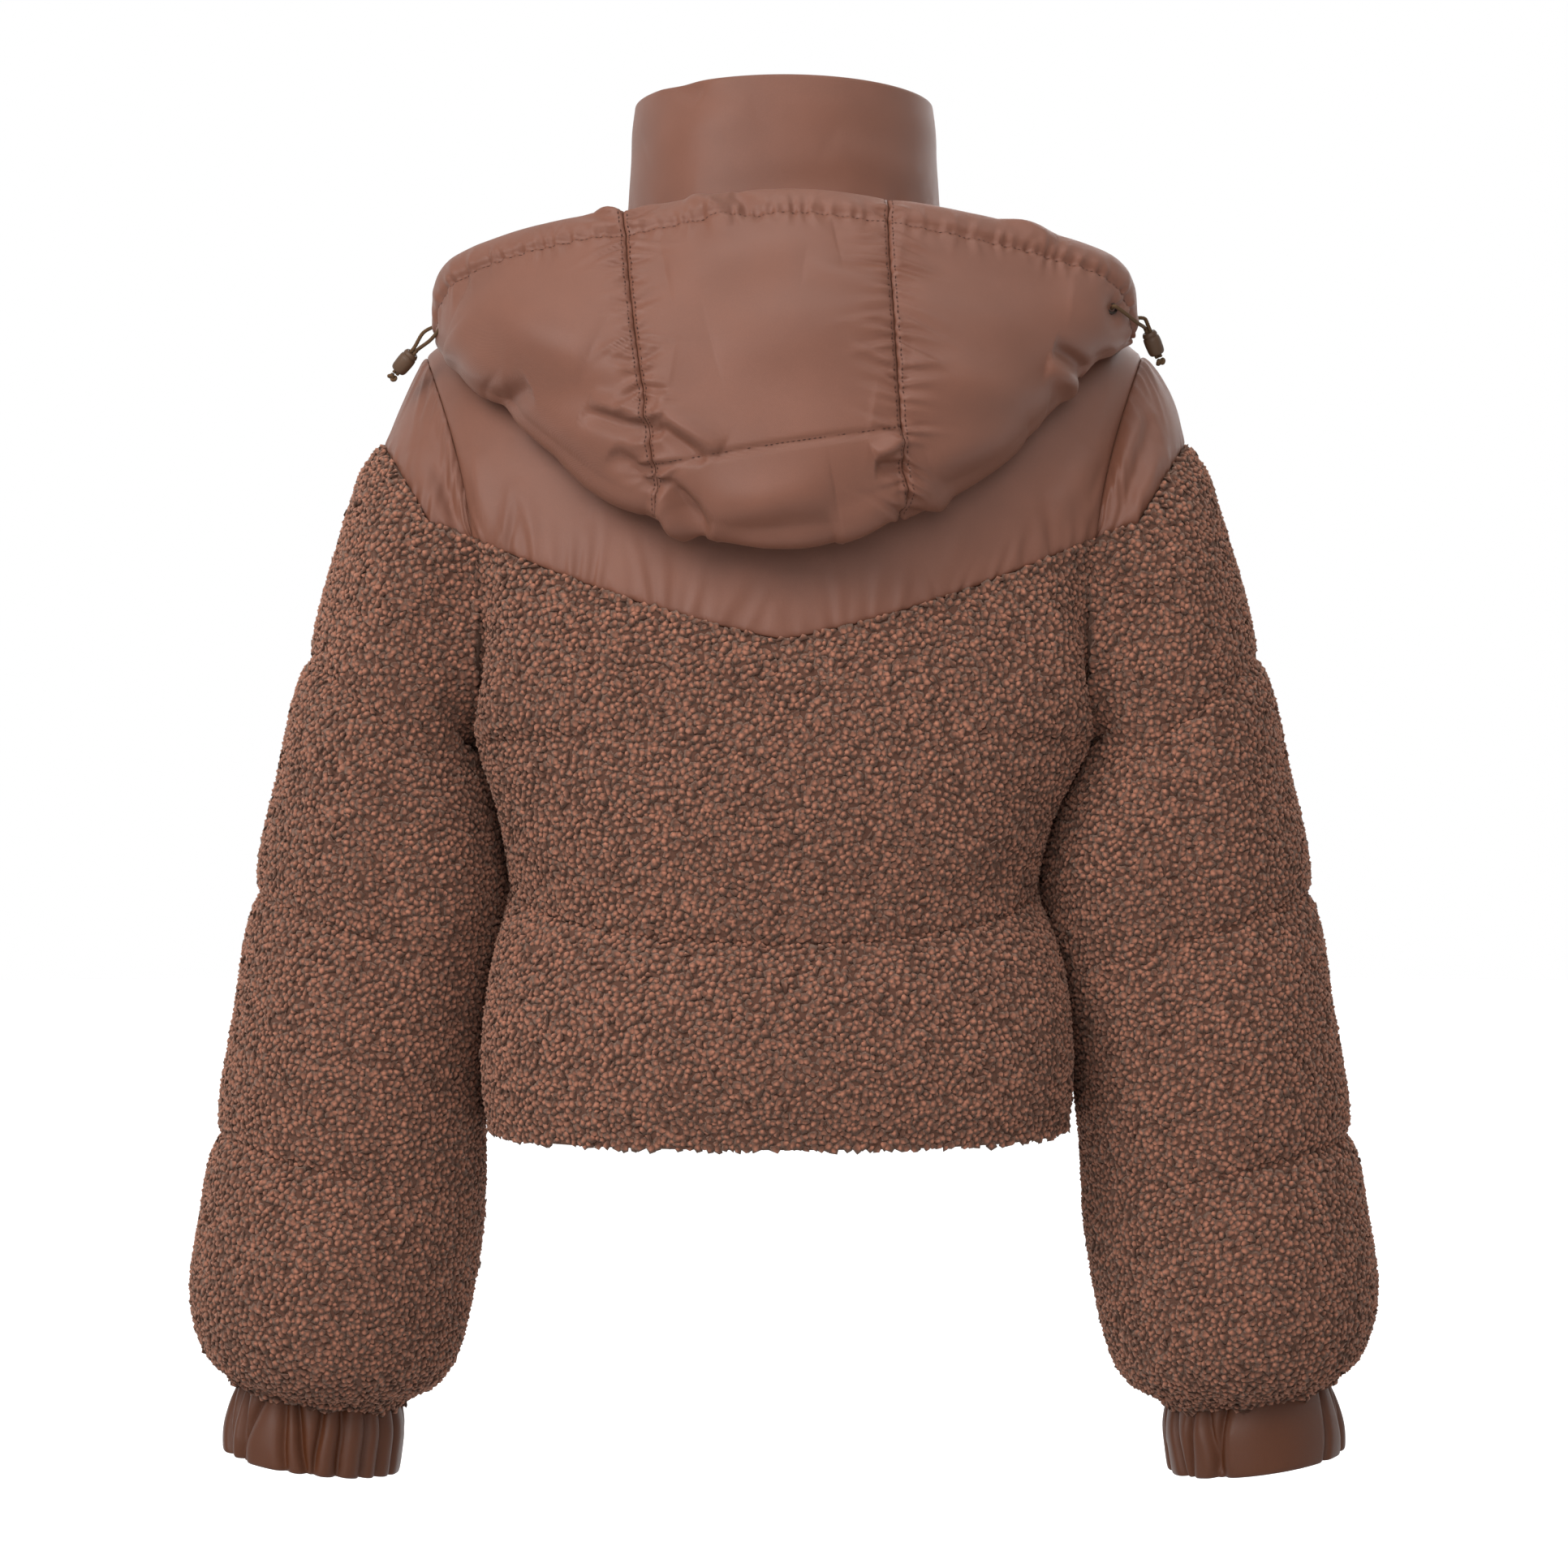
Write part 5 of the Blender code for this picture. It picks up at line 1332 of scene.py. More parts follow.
@dataclass(frozen=True)
class Pile(Finish):
    """Curled pile: a shell with a curl standing on every few millimetres of it.

    Attributes:
        spacing: Least distance between two curls.
        curl: A curl's half length, half width and half height.
        sunk: How far the shell lies below the pile's own surface.
    """

    spacing: float = 2.95 * MM
    curl: tuple[float, float, float] = (3.5 * MM, 3.0 * MM, 2.0 * MM)
    sunk: float = 2.2 * MM

    def surface(self, wiring: Wiring) -> tuple[bpy.types.NodeSocket, bpy.types.NodeSocket]:
        """Wire the colour, with painted shade between the curls and painted light on their tops, and the yarn's
        relief.

        Args:
            wiring: The material's wiring.

        Returns:
            The colour and the height.
        """
        # The tip attribute paints light and shade: 1 at a curl's top, painted light, and 0 at its foot and on
        # the shell, painted shade between the curls.
        tip = wiring.node("Attribute", {}, attribute_name="tip").outputs["Fac"]
        tone = wiring.mottle(Broad=7.0, Middling=45.0)
        speck = wiring.noise(420.0, 3.0, 0.6)
        lift = wiring.calculate("MULTIPLY", wiring.calculate("SUBTRACT", speck, 0.5), 0.7)
        share = wiring.calculate("ADD", tip, lift)
        share = wiring.calculate("ADD", share, wiring.calculate("MULTIPLY", tone, 0.4))
        # The dark tone is painted shade in the gaps and the light tone is painted light on the curls' tops; the
        # mottle and the speck add random tone.
        colour = wiring.mix(wiring.spread(share, 0.35, 1.5), *self.tones(0.35, 1.75))
        return colour, wiring.noise(900.0, 4.0, 0.7)

    def cover(self, panel: Panel, node: str) -> None:
        """Build a panel's shell and the curls that stand on it.

        Args:
            panel: The panel, with its height set.
            node: The solid that the two pieces stand for.
        """
        panel.height -= self.sunk * ease(panel.edge_distance() / (8.0 * MM))
        # The shell has no tip attribute, so its material gives it the darkest tone: painted shade in the gaps
        # between the curls.
        shell = panel.build(f"{node}_shell", self)
        places, outward = self.scatter(panel, seed=sum(map(ord, node)))
        curls = self.curls(f"{node}_pile", places, outward, seed=len(places))
        log.info("%s: %d curls", node, len(places))
        self.finish_piece(shell, node)
        self.finish_piece(curls, node)

    def scatter(self, panel: Panel, seed: int) -> tuple[Array, Array]:
        """Choose evenly spread places on a panel's outside.

        Args:
            panel: The panel.
            seed: Which pattern.

        Returns:
            The places and the outward directions there.
        """
        grid = panel.outside()
        if panel.closed:
            grid = np.concatenate([grid, grid[:, :1]], axis=1)
        corners = [part.reshape(-1, 3)
                   for part in (grid[:-1, :-1], grid[:-1, 1:], grid[1:, 1:], grid[1:, :-1])]
        normal = np.cross(corners[2] - corners[0], corners[3] - corners[1])
        guide = panel.outward[:-1] if panel.closed else panel.outward[:-1, :-1]
        normal *= np.sign((normal * guide.reshape(-1, 3)).sum(axis=-1, keepdims=True))
        area = np.linalg.norm(normal, axis=-1) / 2.0
        source = np.random.default_rng(seed)
        count = int(area.sum() / self.spacing ** 2 * 5.0)
        cell = source.choice(len(area), size=count, p=area / area.sum())
        across, along = source.random((2, count, 1))
        first = corners[0][cell] * (1.0 - across) + corners[1][cell] * across
        second = corners[3][cell] * (1.0 - across) + corners[2][cell] * across
        places = first * (1.0 - along) + second * along
        tree = point_tree(places)
        kept = np.ones(count, bool)
        for index in range(count):
            if kept[index]:
                for _, other, _ in tree.find_range(places[index], self.spacing):
                    if other > index:
                        kept[other] = False
        return places[kept], unit(normal[cell][kept])

    def curls(self, name: str, places: Array, outward: Array, seed: int) -> bpy.types.Object:
        """Build every curl of one panel as one mesh of small bent nubs.

        Args:
            name: The piece's name.
            places: Where each curl stands.
            outward: The outward direction there.
            seed: Which pattern.

        Returns:
            The new object.
        """
        source = np.random.default_rng(seed)
        count, sides = len(places), CURL_SIDES
        across = unit(np.cross(outward, source.normal(size=(count, 3))))
        up = unit(outward + CURL_LEAN * source.normal(size=(count, 3)))
        across = unit(across - up * (across * up).sum(axis=-1, keepdims=True))
        beside = np.cross(up, across)
        size = source.uniform(*CURL_SIZES, (count, 1))
        long, wide, high = self.curl
        turn = math.tau * (np.arange(sides) + source.uniform(-0.25, 0.25, (count, sides))) / sides
        reach = source.uniform(*CURL_REACHES, (count, sides))
        x, y = long * reach * np.cos(turn), wide * reach * np.sin(turn)
        z = high * (source.uniform(-CURL_SINK, CURL_SINK, (count, sides)) - CURL_SINK)
        top = source.normal(scale=CURL_TOP_SHIFT, size=(count, 2)) * (long, wide)
        local = np.zeros((count, sides + 1, 3))
        local[:, 0] = np.concatenate([top, np.full((count, 1), high)], axis=1)
        local[:, 1:] = np.stack([x, y, z], axis=-1)
        local *= size[:, None]
        points = (places[:, None] + across[:, None] * local[..., :1] + beside[:, None] * local[..., 1:2]
                  + up[:, None] * local[..., 2:])
        ring = np.arange(sides)
        upper = np.stack([np.zeros(sides, int), 1 + ring, 1 + (ring + 1) % sides], axis=-1)
        starts = np.arange(count) * (sides + 1)
        faces = (upper[None] + starts[:, None, None]).reshape(-1, 3).tolist()
        faces += (1 + ring[None, ::-1] + starts[:, None]).tolist()
        piece = make_piece(name, points.reshape(-1, 3), faces, self, count * sides, turn_out=False)
        # The tip attribute holds painted light and shade: 1 at each curl's top, painted light, and 0 on its foot
        # ring, painted shade where the curls meet, with a random shift of tone for each curl.
        tips = np.tile(np.array([1.0] + [0.0] * sides), (count, 1))
        tips += source.uniform(-CURL_TONE, CURL_TONE, (count, 1))
        attribute = piece.data.attributes.new("tip", "FLOAT", "POINT")
        attribute.data.foreach_set("value", tips.reshape(-1).astype(np.float32))
        return piece


@dataclass(frozen=True)
class Thread(Finish):
    """Sewing thread, laid as a row of separate stitches.

    Attributes:
        pitch: Distance from one stitch to the next.
        length: A stitch's half length.
        radius: Half its thickness.
    """

    pitch: float = 3.0 * MM
    length: float = 1.15 * MM
    radius: float = 0.42 * MM

    def sew(self, name: str, lines: Sequence[Array]) -> bpy.types.Object:
        """Build the stitches along lines as one mesh.

        Args:
            name: The piece's name.
            lines: Points along each line, each followed by its outward direction.

        Returns:
            The new object.
        """
        points, faces = [], []
        for line in lines:
            run = run_length(line[:, :3])
            for middle in np.arange(self.pitch, run[-1] - self.pitch, self.pitch):
                ends = [np.array([np.interp(middle + step, run, part) for part in line.T])
                        for step in (-self.length, self.length)]
                centre, out = (ends[0][:3] + ends[1][:3]) / 2.0, unit((ends[0][3:] + ends[1][3:]) / 2.0)
                beside = unit(np.cross(ends[1][:3] - ends[0][:3], out))
                ring = [centre + self.radius * part for part in (out * 1.3, beside, -out, -beside)]
                start = len(points)
                points += [ends[0][:3], ends[1][:3], *ring]
                for corner in range(4):
                    after = start + 2 + (corner + 1) % 4
                    faces += [[start, after, start + 2 + corner], [start + 1, start + 2 + corner, after]]
        return make_piece(name, np.array(points), faces, self)


TEDDY_PILE = Pile("teddy_pile", "teddy", (0.226, 0.092, 0.057), 0.95, sheen=0.3, grain=0.5 * MM)
YOKE_NYLON = Nylon("yoke_nylon", "nylon", (0.160, 0.062, 0.038), 0.46, sheen=0.05, grain=0.05 * MM, gloss=0.38)
CUFF_NYLON = Nylon("cuff_cloth", "cuff_nylon", (0.078, 0.023, 0.008), 0.42, grain=0.05 * MM, gloss=0.35)
BRAIDED_CORD = Finish("braided_cord", "cord", (0.085, 0.045, 0.020), 0.85, grain=0.12 * MM, gloss=0.25)
MATTE_PLASTIC = Finish("matte_plastic", "lock_plastic", (0.070, 0.035, 0.017), 0.55, grain=0.02 * MM, gloss=0.35)
ZIP_TEETH = Finish("zip_teeth", "zip_plastic", (0.055, 0.024, 0.016), 0.45, grain=0.01 * MM, gloss=0.5)
PLATED_METAL = Finish("plated_metal", "dark_metal", (0.075, 0.058, 0.050), 0.35, 1.0, grain=0.01 * MM, gloss=0.5)
WOVEN_TAPE = Finish("woven_tape", "zip_tape", (0.070, 0.030, 0.019), 0.85, grain=0.15 * MM)
SEWING_THREAD = Thread("sewing_thread", "nylon", (0.060, 0.024, 0.016), 0.6)


# ------------------------------------------------------------------ torso and yokes

FOLDS = folds(Facing.BACK, (
    (0.193, -0.113, 0.176, -0.165, 0.0050, 4.5), (0.186, -0.129, 0.174, -0.158, 0.0040, -3.5),
    (0.201, -0.107, 0.189, -0.152, 0.0045, 3.0), (0.207, -0.116, 0.193, -0.171, 0.0040, -2.6),
    (0.213, -0.132, 0.198, -0.171, 0.0050, 2.4), (0.153, -0.157, 0.161, -0.194, 0.0060, 2.2),
    (0.146, -0.164, 0.154, -0.198, 0.0050, -2.0), (0.171, -0.134, 0.153, -0.171, 0.0070, 2.5),
    (-0.191, -0.107, -0.183, -0.171, 0.0050, 2.4), (-0.199, -0.116, -0.188, -0.173, 0.0040, -2.2),
    (-0.174, -0.134, -0.168, -0.175, 0.0060, 2.0), (-0.213, -0.134, -0.193, -0.171, 0.0050, 2.2),
    (-0.204, -0.127, -0.186, -0.176, 0.0035, -1.8), (-0.149, -0.152, -0.136, -0.194, 0.0060, 1.8),
    (-0.113, -0.175, -0.104, -0.205, 0.0050, 1.5), (-0.060, -0.194, -0.055, -0.221, 0.0050, -1.3),
    (0.098, -0.180, 0.091, -0.205, 0.0050, 1.5), (0.057, -0.194, 0.052, -0.216, 0.0050, 1.4),
    (-0.120, -0.235, -0.060, -0.300, 0.020, -3.0), (0.130, -0.230, 0.070, -0.310, 0.020, -3.0),
    (-0.140, -0.350, -0.070, -0.372, 0.014, 3.0), (0.135, -0.345, 0.060, -0.375, 0.014, 3.0),
    (-0.090, -0.440, -0.100, -0.500, 0.018, -3.0), (0.080, -0.440, 0.095, -0.500, 0.018, -3.0),
)) + folds(Facing.FRONT, (
    (-0.130, -0.225, -0.070, -0.290, 0.020, -3.0), (0.130, -0.225, 0.070, -0.290, 0.020, -3.0),
    (-0.120, -0.345, -0.060, -0.372, 0.014, 3.0), (0.120, -0.345, 0.060, -0.372, 0.014, 3.0),
    (0.090, -0.430, 0.100, -0.500, 0.018, -3.0), (-0.085, -0.430, -0.095, -0.500, 0.018, -3.0),
))
HEM_START_ROW = 0.11
SIDE_FADE = 4.0
ZIP_FADE = 3.0
ARM_FADE = 2.5
ARM_FADE_ROW = HEM_ROWS + LOWER_ROWS - 3.0


@dataclass
class Torso:
    """The body and yoke panels round the wearer's trunk.

    Attributes:
        back: The whole back's surface.
        fronts: Each front half's surface.
    """

    back: Surface = field(init=False)
    fronts: dict[Side, Surface] = field(init=False)

    def __post_init__(self) -> None:
        """Make the back surface and the two front surfaces."""
        self.back = Surface(back_point, TORSO_ROWS, 2 * COLUMNS_PER_HALF, TORSO_MIDDLE)
        self.fronts = {side: Surface(partial(front_point, side), TORSO_ROWS, COLUMNS_PER_HALF, TORSO_MIDDLE)
                       for side in Side}

    def halves(self) -> list[tuple[str, Surface, Facing]]:
        """Return each half's name, surface and facing."""
        fronts = [(f"front_{side.label}", surface, Facing.FRONT) for side, surface in self.fronts.items()]
        return [("back", self.back, Facing.BACK), *fronts]

    @staticmethod
    def from_side(panel: Panel, facing: Facing) -> Array:
        """Return each point's count of columns from the side seam or armhole."""
        middle = COLUMNS_PER_HALF if facing is Facing.BACK else 0
        return COLUMNS_PER_HALF - np.abs(panel.column - middle)

    def body_height(self, panel: Panel, facing: Facing) -> Array:
        """Return the padded body's height: two puffs up the panel, thin at seams and edges.

        Args:
            panel: The panel.
            facing: Whether it is at the back or the front.

        Returns:
            The height at each point.
        """
        row, lower = panel.row, panel.row <= HEM_ROWS
        rise = np.where(lower, puff(row / HEM_ROWS), puff((row - HEM_ROWS) / (YOKE_ROW - HEM_ROWS)))
        from_side = self.from_side(panel, facing)
        below_arm = 1.0 - ease((row - HEM_ROWS) / LOWER_ROWS)
        floor = SIDE_PUFF_SHARE * below_arm
        share = floor + (1.0 - floor) * ease(from_side / SIDE_FADE)
        if facing is Facing.FRONT:
            share = share * ease(panel.column / ZIP_FADE)
        near_arm = ease((row - ARM_FADE_ROW) / 2.0) * (1.0 - ease(from_side / ARM_FADE))
        fold = fold_height(panel.inside, facing.value, FOLDS) * rise
        return (CLOTH_AT_SEAM * (1.0 - ARMPIT_THINNING * near_arm)
                + np.where(lower, LOWER_PUFF, UPPER_PUFF) * rise * share * (1.0 - near_arm) + fold)

    def yoke_height(self, panel: Panel, facing: Facing) -> Array:
        """Return the light yoke's height without its puckers.

        Args:
            panel: The panel.
            facing: Whether it is at the back or the front.

        Returns:
            The height at each point.
        """
        rise = (panel.row - YOKE_ROW) / YOKE_ROWS
        inner = ease(self.from_side(panel, facing))
        fold = fold_height(panel.inside, facing.value, FOLDS) * puff(rise, 0.5)
        return CLOTH_AT_SEAM + inner * (YOKE_SWELL * puff(rise, 0.7) + fold)

    def build_bodies(self) -> None:
        """Build the pile body panels."""
        for name, surface, facing in self.halves():
            rows = stops(0.0, YOKE_ROW, per_step=5.0)
            panel = Panel(surface, rows[rows > HEM_START_ROW], stops(0.0, surface.columns, per_step=4.0))
            panel.height = self.body_height(panel, facing)
            TEDDY_PILE.cover(panel, f"{name}_body")

    def build_yokes(self) -> None:
        """Build the nylon yokes with the puckers that their seams draw in."""
        for index, (name, surface, facing) in enumerate(self.halves()):
            rows = stops(YOKE_ROW, TORSO_ROWS, per_step=14.0)
            panel = Panel(surface, rows, stops(0.0, surface.columns, per_step=8.0))
            panel.height = self.yoke_height(panel, facing)
            YOKE_NYLON.dress(panel, seed=10 * index)
            YOKE_NYLON.cut(panel, f"{name}_yoke")


# ------------------------------------------------------------------ sleeves

SLEEVE_END_REACH = 24.0 * MM
SLEEVE_END_LEAST = 0.35
OUTER_GAIN = 1.5
ARMPIT_RING = 0.4
ARMPIT_OUTER = 0.55
FILL_OUTER = 0.45
CAP_EXTRA = {Side.LEFT: -2.0 * MM, Side.RIGHT: 3.0 * MM}
CUFF_PUFF = 6.8 * MM
CUFF_LEAST = 1.4 * MM
CUFF_STEPS = (0.15, 0.33)
CUFF_WIDTHS = (0.035, 0.065)
CUFF_LEANS = (-0.09, 0.09)
CUFF_SHARES = (0.7, 1.0)
CUFF_SMOOTH = {Side.LEFT: (math.tau, math.tau), Side.RIGHT: (0.75, 1.95)}
SLEEVE_FILL_Z = (-0.62, -0.55, -0.50, -0.44, -0.38, -0.33, -0.295)
SLEEVE_FILL = {Side.LEFT: (0.0, 1.0 * MM, 4.0 * MM, 7.0 * MM, 17.0 * MM, 16.0 * MM, 9.0 * MM),
               Side.RIGHT: (0.0, 2.0 * MM, 9.0 * MM, 16.0 * MM, 30.0 * MM, 25.0 * MM, 13.0 * MM)}


@dataclass
class Sleeve:
    """One sleeve: nylon cap, padded pile sleeve and gathered cuff.

    Attributes:
        side: Which sleeve it is.
        cap: The cap's surface.
        pile: The pile sleeve's surface.
        cuff: The cuff's surface.
    """

    side: Side
    cap: Surface = field(init=False)
    pile: Surface = field(init=False)
    cuff: Surface = field(init=False)

    def __post_init__(self) -> None:
        """Make the three surfaces."""
        side = self.side.value
        self.cap = Surface(partial(cap_point, side=side), CAP_ROWS, 2 * QUARTER, self.middle(SLEEVE_ROWS[1]))
        self.pile = Surface(partial(pile_point, side=side), len(PILE_RINGS) - 1, SLEEVE_COLUMNS,
                            self.middle(SLEEVE_ROWS[5]), closed=True)
        self.cuff = Surface(partial(cuff_point, side=side), len(CUFF_ROWS) - 1, CUFF_COLUMNS,
                            self.middle(CUFF_ROWS[1]), closed=True)

    def middle(self, row: RingRow) -> tuple[float, float, float]:
        """Return the middle of a ring."""
        x, z = (row.outer_x + row.inner_x) / 2.0, (row.outer_z + row.inner_z) / 2.0
        return self.side.value * x, row.forward, z

    def pile_height(self, panel: Panel) -> Array:
        """Return the pile sleeve's height: four puffs between its quilt seams, fuller on the outside.

        Args:
            panel: The panel.

        Returns:
            The height at each point.
        """
        ring = np.interp(panel.row, range(len(PILE_RINGS)), PILE_RINGS)
        which = np.clip(np.searchsorted(SLEEVE_SEAM_RINGS, ring) - 1, 0, len(SLEEVE_SEAM_RINGS) - 2)
        low, high = np.take(SLEEVE_SEAM_RINGS, which), np.take(SLEEVE_SEAM_RINGS, which + 1)
        near_end = SLEEVE_END_LEAST + (1.0 - SLEEVE_END_LEAST) * ease(panel.down / SLEEVE_END_REACH)
        outer = 0.5 + 0.5 * np.cos(np.radians(sleeve_degrees(panel.column)))
        extra = np.take(OUTER_SLEEVE_PUFFS, which) - INNER_SLEEVE_PUFF
        height = INNER_SLEEVE_PUFF + extra * ease(outer * OUTER_GAIN)
        rise = puff((ring - low) / (high - low)) * near_end
        near_arm = (1.0 - ease((ring - ARMPIT_RING) / 3.0)) * ease((ARMPIT_OUTER - outer) * 5.0)
        filled = through(SLEEVE_FILL_Z, SLEEVE_FILL[self.side], panel.inside[..., 2])
        filled = filled * ease((FILL_OUTER - outer) * 3.0)
        return (CLOTH_AT_SEAM * (1.0 - ARMPIT_THINNING * near_arm) + height * rise * (1.0 - near_arm)
                + np.maximum(filled, 0.0))

    def build_cap(self) -> None:
        """Build the nylon cap."""
        rows, columns = stops(0.0, CAP_ROWS, per_step=6.0), stops(0.0, 2 * QUARTER, per_step=12.0)
        panel = Panel(self.cap, rows, columns)
        from_end = np.minimum(panel.column, 2 * QUARTER - panel.column)
        near = ease(from_end / 2.0)
        panel.height = (CLOTH_AT_SEAM * (1.0 - CAP_END_THINNING * (1.0 - near))
                        + (CAP_SWELL + CAP_EXTRA[self.side]) * puff(panel.row / CAP_ROWS, 0.7) * near)
        fold = fold_height(panel.inside, Facing.BACK.value, FOLDS) * (panel.inside[..., 1] < 0.0)
        panel.height += fold * puff(panel.row / CAP_ROWS, 0.5)
        YOKE_NYLON.dress(panel, seed=40 + int(self.side.value))
        YOKE_NYLON.cut(panel, f"sleeve_cap_{self.side.label}")

    def build_pile(self) -> None:
        """Build the padded pile sleeve."""
        rows, columns = stops(0.0, self.pile.rows, per_step=6.0), round_stops(SLEEVE_COLUMNS, per_step=5)
        panel = Panel(self.pile, rows, columns)
        panel.height = self.pile_height(panel) + SLEEVE_END_PUCKERS.at(panel.over, panel.down, seed=75)
        TEDDY_PILE.cover(panel, f"sleeve_{self.side.label}")

    def build_cuff(self) -> None:
        """Build the gathered cuff."""
        rows, columns = stops(0.0, self.cuff.rows, per_step=9.0), round_stops(CUFF_COLUMNS, per_step=6)
        panel = Panel(self.cuff, rows, columns)
        angle = math.tau * panel.column / CUFF_COLUMNS
        gather = np.full(panel.row.shape, CUFF_PUFF)
        source = np.random.default_rng(70 + int(self.side.value))
        smooth_from, smooth_to = CUFF_SMOOTH[self.side]
        place = 0.0
        while place < math.tau - 0.1:
            place += source.uniform(*CUFF_STEPS)
            if smooth_from < place < smooth_to:
                place = smooth_to
            width, lean, share = (source.uniform(*bounds) for bounds in (CUFF_WIDTHS, CUFF_LEANS, CUFF_SHARES))
            off = (angle - place - lean * panel.row + math.pi) % math.tau - math.pi
            gather = gather * (1.0 - share * np.exp(-np.abs(off / width) ** 1.4))
        along = panel.row / self.cuff.rows
        panel.height = CUFF_LEAST + gather * (0.85 + 0.15 * puff(along, 0.5))
        panel.roll_edges(radius=2.5 * MM, depth=1.5 * MM)
        CUFF_NYLON.cut(panel, f"cuff_{self.side.label}")


# ------------------------------------------------------------------ collar and hood

COLLAR_SHOWN_WALLS = (4.0 * MM, 4.5 * MM, 5.5 * MM, 6.5 * MM, 8.0 * MM, 8.0 * MM)
COLLAR_FOLDS = folds(Facing.BACK, (
    (-0.060, 0.086, -0.045, 0.076, 0.006, -3.0), (-0.070, 0.050, -0.020, 0.062, 0.012, 1.6),
    (0.075, 0.030, 0.030, 0.045, 0.012, 1.5), (-0.040, 0.020, 0.030, 0.024, 0.010, -1.4),
))


@dataclass
class Collar:
    """The padded funnel collar.

    Attributes:
        surface: Its surface.
    """

    surface: Surface = field(init=False)

    def __post_init__(self) -> None:
        """Make the surface."""
        self.surface = Surface(collar_point, COLLAR_ROWS, COLLAR_COLUMNS, COLLAR_MIDDLE)

    def build(self) -> None:
        """Build the collar."""
        rows, columns = stops(0.0, COLLAR_ROWS, per_step=10.0), stops(0.0, COLLAR_COLUMNS, per_step=9.0)
        panel = Panel(self.surface, rows, columns)
        ends = 0.8 + 0.2 * ease(np.minimum(panel.column, COLLAR_COLUMNS - panel.column))
        panel.height = through(range(COLLAR_ROWS + 1), COLLAR_SHOWN_WALLS, panel.row) * ends
        panel.roll_edges(radius=1.8 * MM, depth=1.0 * MM)
        panel.height += COLLAR_PUCKERS.at(panel.over, panel.up, seed=60)
        panel.height += fold_height(panel.inside, Facing.BACK.value, COLLAR_FOLDS)
        YOKE_NYLON.cut(panel, "collar")


TUNNEL_DEPTH = 17.0 * MM
HOOD_TIP_REACH = 60.0 * MM
HOOD_TIP_EXTRA = 4.0 * MM
HOOD_TIP_SHARE = 0.72
HOOD_TIP_FADE = 20.0 * MM
GROOVE_HALF_WIDTH = 1.8 * MM
RIM_STITCH = 1.6 * MM
SEAM_STITCH = 2.2 * MM
HOOD_FOLD_GAIN = 2.7
HOOD_LEAST = 0.8 * MM
TUNNEL_GROOVE = 1.8 * MM
HOOD_PUFF = 5.0 * MM
HOOD_CROSS_Z = -0.1333
HOOD_CROSS_SLOPE = 0.15
HOOD_FOLDS = folds(Facing.BACK, (
    (-0.067, -0.115, -0.036, -0.134, 0.0060, 2.4), (-0.069, -0.121, -0.044, -0.139, 0.0040, -1.8),
    (-0.106, -0.114, -0.069, -0.126, 0.0045, -2.2), (-0.103, -0.108, -0.069, -0.119, 0.0060, 1.8),
    (-0.090, -0.136, -0.067, -0.156, 0.0050, -2.4), (-0.067, -0.156, -0.052, -0.181, 0.0060, 3.2),
    (-0.062, -0.153, -0.042, -0.174, 0.0045, -3.0), (0.049, -0.137, 0.064, -0.130, 0.0045, 2.6),
    (0.050, -0.144, 0.065, -0.146, 0.0040, -2.6), (0.064, -0.153, 0.089, -0.157, 0.0050, 2.2),
    (0.029, -0.175, 0.062, -0.159, 0.0070, 2.4), (0.035, -0.181, 0.064, -0.169, 0.0040, -1.8),
    (-0.050, 0.001, -0.029, -0.012, 0.0050, 1.8), (-0.027, 0.002, -0.012, -0.009, 0.0040, -1.5),
    (-0.100, -0.003, -0.085, -0.012, 0.0050, 1.6), (0.122, -0.005, 0.145, -0.019, 0.0050, 1.4),
    (-0.056, -0.038, 0.020, -0.022, 0.0160, 1.4), (-0.030, -0.078, 0.053, -0.058, 0.0180, 1.5),
    (-0.052, -0.098, 0.038, -0.114, 0.0180, -1.4), (0.015, -0.040, 0.055, -0.047, 0.0080, 1.2),
    (-0.168, -0.049, -0.110, -0.078, 0.0180, 1.8), (-0.146, -0.098, -0.081, -0.112, 0.0150, -1.8),
    (-0.123, -0.139, -0.079, -0.159, 0.0090, 1.8), (0.071, -0.033, 0.149, -0.045, 0.0150, -1.5),
    (0.073, -0.095, 0.136, -0.103, 0.0140, 1.6), (0.148, -0.075, 0.165, -0.081, 0.0050, -2.6),
    (0.143, -0.085, 0.160, -0.090, 0.0060, 2.2), (0.082, -0.139, 0.127, -0.121, 0.0100, 1.6),
    (-0.164, -0.105, -0.141, -0.098, 0.0070, -2.0), (-0.181, -0.067, -0.164, -0.089, 0.0100, 1.5),
    (-0.038, -0.165, 0.020, -0.156, 0.0120, 1.4), (-0.030, -0.179, 0.024, -0.172, 0.0080, -1.2),
    (-0.069, -0.144, 0.064, -0.124, 0.0018, -0.9),
))


